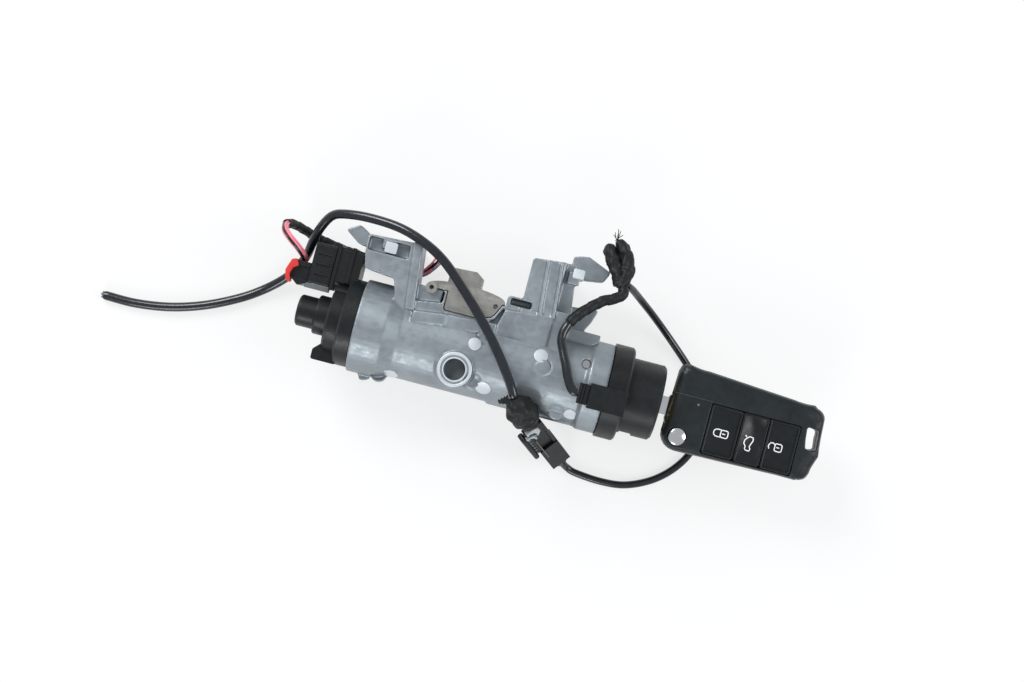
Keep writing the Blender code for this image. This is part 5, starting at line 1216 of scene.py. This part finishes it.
@dataclass
class FlipKey:
    """Blade, hub and fob with its buttons."""

    voxel: float = 0.45 * MM
    smoothing: int = 3
    most_triangles: int = 150000
    half: float = 8.0                     # half of the fob's thickness, in millimetres
    rounding: float = 2.6                 # of its long edges
    middle: tuple[float, float] = (143.0, 0.5)
    # Corners x, y and radius: as the solids have them, and as the photograph shows the ring's end
    solid: tuple = ((108.5, 22.6, 4.0), (106.1, -20.6, 8.0), (177.4, -19.0, 3.0), (180.9, -5.0, 1.0),
                    (182.4, 13.6, 2.0), (176.6, 18.0, 4.0))
    shown: tuple = ((108.5, 22.7, 3.2), (106.1, -20.6, 8.0), (182.2, -18.8, 6.5), (182.4, 16.8, 5.0),
                    (143.0, 21.5, 60.0))
    dishes: tuple = (("button_lock", 0.65), ("button_boot", 0.2), ("button_unlock", 0.65))
    light: tuple = ((120.3, 4.5), 0.6)    # middle and radius
    corner: float = 1.3                   # radius of the buttons' corners
    dome_rise: float = 1.0                # of the release button
    stroke: float = 0.25                  # half the width of a printed line
    # Low and high corner of each printed padlock, its keyhole, and the shut one's bow: middle and radius
    padlocks: tuple = (((134.3, -8.1), (137.9, -4.5)), ((161.4, -7.9), (164.9, -4.2)))
    keyholes: tuple = (((135.0, -6.3), (136.6, -6.3)), ((162.2, -6.0), (163.7, -6.0)))
    bow: tuple = ((132.6, -6.3), 1.8)
    car: tuple = ((147.4, -5.0), (148.6, -4.1), (150.2, -4.4), (150.4, -5.9), (149.7, -7.6), (149.3, -9.1),
                  (149.9, -10.0), (149.6, -11.1), (147.8, -11.0), (147.2, -10.2), (147.4, -9.3),
                  (146.3, -7.9), (146.4, -6.3))
    car_lid: tuple = ((147.1, -4.7), (146.2, -3.9))
    shackle: tuple = ((161.4, -5.2), (160.8, -4.5), (160.0, -4.2), (159.0, -4.5), (158.4, -5.4),
                      (158.3, -6.5), (158.8, -7.4))

    def build(self, shop: Workshop) -> None:
        """Round the shells, make the buttons with their signs and the release, and dress the rest."""
        for node in ("fob_top_shell", "fob_bottom_shell"):
            self.shell(shop, node)
        tops = {node: self.button(shop, node, depth) for node, depth in self.dishes}
        self.signs(shop, tops)
        self.release(shop)
        light = rimmed_grid(circle(*self.light, 24), rim(self.half - 1.0, self.half + 0.1, 0.2))
        shop.make("status_light", [lock_points(light)], Slot.FOB, Body.FOB, trim=Trim.GREY)
        for name in ("key_blade", "blade_hub"):
            shop.soften(name, 0.3 * MM, 3)
        shop.dress("button_mat", "circuit_board", "coin_cell", "fold_spring")

    def shell(self, shop: Workshop, node: str) -> None:
        """Skin one shell and round its long edges.

        Two steps move its points. First the way of each from the fob's middle grows by the ratio
        of the shown outline to the solid's in its direction, less and less towards the middle.
        Then a point nearer to the outline and to the flat face than the rounding lands on the
        quarter circle there, on the line from the circle's centre.
        """
        piece = shop.publish(node + "_shell", shop.welded(node), Slot.FOB, Body.FOB, [node])
        skin = shop.skinned(piece, self.voxel, self.smoothing, self.most_triangles)
        points = (places(skin) - (0.0, 0.0, AXIS_HEIGHT)) / MM
        outline = rounded_outline(self.shown, 8)
        flat = points[:, :2] - self.middle
        angle, away = np.arctan2(flat[:, 1], flat[:, 0]), np.hypot(flat[:, 0], flat[:, 1])
        old, new = (self.reach(angle, rounded_outline(corners, 24)) for corners in (self.solid, self.shown))
        share = np.clip((away / old - 0.8) / 0.2, 0.0, 1.0)
        flat = self.middle + flat * (1 + (new / old - 1) * share)[:, None]
        foot, inwards, depth = self.nearest(flat, outline)
        a, b = self.rounding - depth, np.abs(points[:, 2]) - (self.half - self.rounding)
        far = np.hypot(a, b)
        rounds = (a > 0) & (b > 0) & (far > self.rounding)
        pull = np.where(rounds, self.rounding / np.maximum(far, 1e-9), 1.0)
        flat = np.where(rounds[:, None], foot + inwards * (self.rounding - a * pull)[:, None], flat)
        level = np.where(rounds, np.sign(points[:, 2]) * (self.half - self.rounding + b * pull), points[:, 2])
        moved(skin, lock_points(np.column_stack([flat, level])))

    def reach(self, angle: Points, outline: Points) -> Points:
        """Distance of an outline from the fob's middle in each direction, linear between its points."""
        flat = outline - self.middle
        rows = sorted(zip(np.arctan2(flat[:, 1], flat[:, 0]), np.hypot(flat[:, 0], flat[:, 1])))
        return np.interp(angle, *np.array(rows).T, period=2 * np.pi)

    @staticmethod
    def nearest(flat: Points, outline: Points) -> tuple[Points, Points, Points]:
        """Nearest place on an outline.

        Args:
            flat: points, as rows of x and y.
            outline: the outline, clockwise or counterclockwise.

        Returns:
            The place, the direction inwards there and the depth inside, for each point.
        """
        ahead = np.roll(outline, -1, axis=0) - outline
        ahead, outline = ahead[np.hypot(*ahead.T) > 1e-6], outline[np.hypot(*ahead.T) > 1e-6]
        turning = np.sign(np.sum(outline[:, 0] * ahead[:, 1] - outline[:, 1] * ahead[:, 0]))
        away = flat[:, None] - outline[None]
        share = np.clip(np.sum(away * ahead, axis=2) / np.sum(ahead ** 2, axis=1), 0.0, 1.0)
        gap = away - share[..., None] * ahead
        side = np.argmin(np.sum(gap ** 2, axis=2), axis=1)
        row = np.arange(len(flat))
        normal = np.stack([-ahead[:, 1], ahead[:, 0]], axis=1) / np.hypot(*ahead.T)[:, None] * turning
        inwards = normal[side]
        return flat - gap[row, side], inwards, np.sum(gap[row, side] * inwards, axis=1)

    def button(self, shop: Workshop, node: str, depth: float) -> float:
        """Dished button in its node's place.

        Args:
            shop: the workshop.
            node: the button's node.
            depth: how deep its dish is.

        Returns:
            Height of the dish's floor above the lock axis, in millimetres.
        """
        low, high = (np.asarray(corner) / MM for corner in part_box(node))
        bottom, top = low[2] - AXIS_HEIGHT / MM, high[2] - AXIS_HEIGHT / MM
        outline = rounded_outline(box_corners(low[:2], high[:2], self.corner), 5)
        turn = np.linspace(0.0, np.pi / 2, 6)
        dish = np.stack([0.5 + 0.75 * np.sin(turn), top - depth * (1 - np.cos(turn))], axis=1)
        profile = [(0.0, bottom), (0.0, top - 0.3), (0.1, top - 0.1), (0.3, top), *map(tuple, dish)]
        shop.make(node + "_pad", [lock_points(rimmed_grid(outline, profile))], Slot.RUBBER, shop.bodies[node],
                  [node], crease=60.0)
        return float(top - depth)

    def line(self, points: Sequence[tuple[float, float]], height: float, closed: bool = False) -> Points:
        """Flat printed line: a tube along points at a height, pressed to a fifth of its thickness."""
        rows = np.asarray(points, float)
        rows = np.vstack([rows, rows[:1]]) if closed else rows
        path = even_path(np.column_stack([rows, np.full(len(rows), height)]), 0.25)
        grid = tube_grid(path, self.stroke, 8)
        grid[..., 2] = height + (grid[..., 2] - height) * 0.2
        return lock_points(grid)

    def signs(self, shop: Workshop, tops: dict[str, float]) -> None:
        """Printed signs: a shut padlock, a car with its boot open and an open padlock."""
        turn = np.pi / 2 + np.linspace(0.0, np.pi, 14)
        (x, y), radius = self.bow
        low, high = self.padlocks[0]
        bow = [(low[0], high[1]), *zip(x + radius * np.cos(turn), y + radius * np.sin(turn)), low]
        shut, opened = (rounded_outline(box_corners(*corners, (0.8, 0.9, 0.9, 0.8)), 4)
                        for corners in self.padlocks)
        for name, node, outline, strokes in (
                ("shut_padlock", "button_lock", shut, (bow, self.keyholes[0])),
                ("open_boot", "button_boot", self.car, (self.car_lid,)),
                ("open_padlock", "button_unlock", opened, (self.shackle, self.keyholes[1]))):
            grids = [self.line(outline, tops[node], True)]
            grids += [self.line(stroke, tops[node]) for stroke in strokes]
            shop.make(name, grids, Slot.RUBBER, shop.bodies[node], trim=Trim.PRINT)

    def release(self, shop: Workshop) -> None:
        """Domed release button, whose height falls with the square of the way from its middle."""
        low, high = (np.asarray(corner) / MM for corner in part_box("release_button"))
        radius = (high[0] - low[0]) / 2
        centre = ((low[0] + high[0]) / 2, (low[1] + high[1]) / 2)
        foot, edge = low[2] - AXIS_HEIGHT / MM, self.half - 0.2
        inset = np.linspace(0.25, 0.995 * radius, 12)
        dome = np.stack([inset, edge + 0.3 + self.dome_rise * (1 - (1 - inset / radius) ** 2)], axis=1)
        profile = [(0.0, foot), (0.0, edge), (0.08, edge + 0.2), *map(tuple, dome)]
        grid = rimmed_grid(circle(centre, radius, 64), profile)
        shop.make("release_dome", [lock_points(grid)], Slot.BRIGHT, Body.RELEASE, ["release_button"],
                  crease=60.0)


def main() -> None:
    """Load the frame, build the studio, the leads and every sub-assembly in order."""
    logging.basicConfig(level=logging.INFO, format="%(name)s: %(message)s")
    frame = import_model()
    shop = Workshop(frame)
    Studio().build()
    for maker in (Harness(), Casting(), SteeringBolt(), IgnitionSwitch(), ReaderCoil(), LockCylinder(),
                  FlipKey()):
        maker.build(shop)
        LOG.info("built %s", type(maker).__name__)


if __name__ == "__main__":
    main()
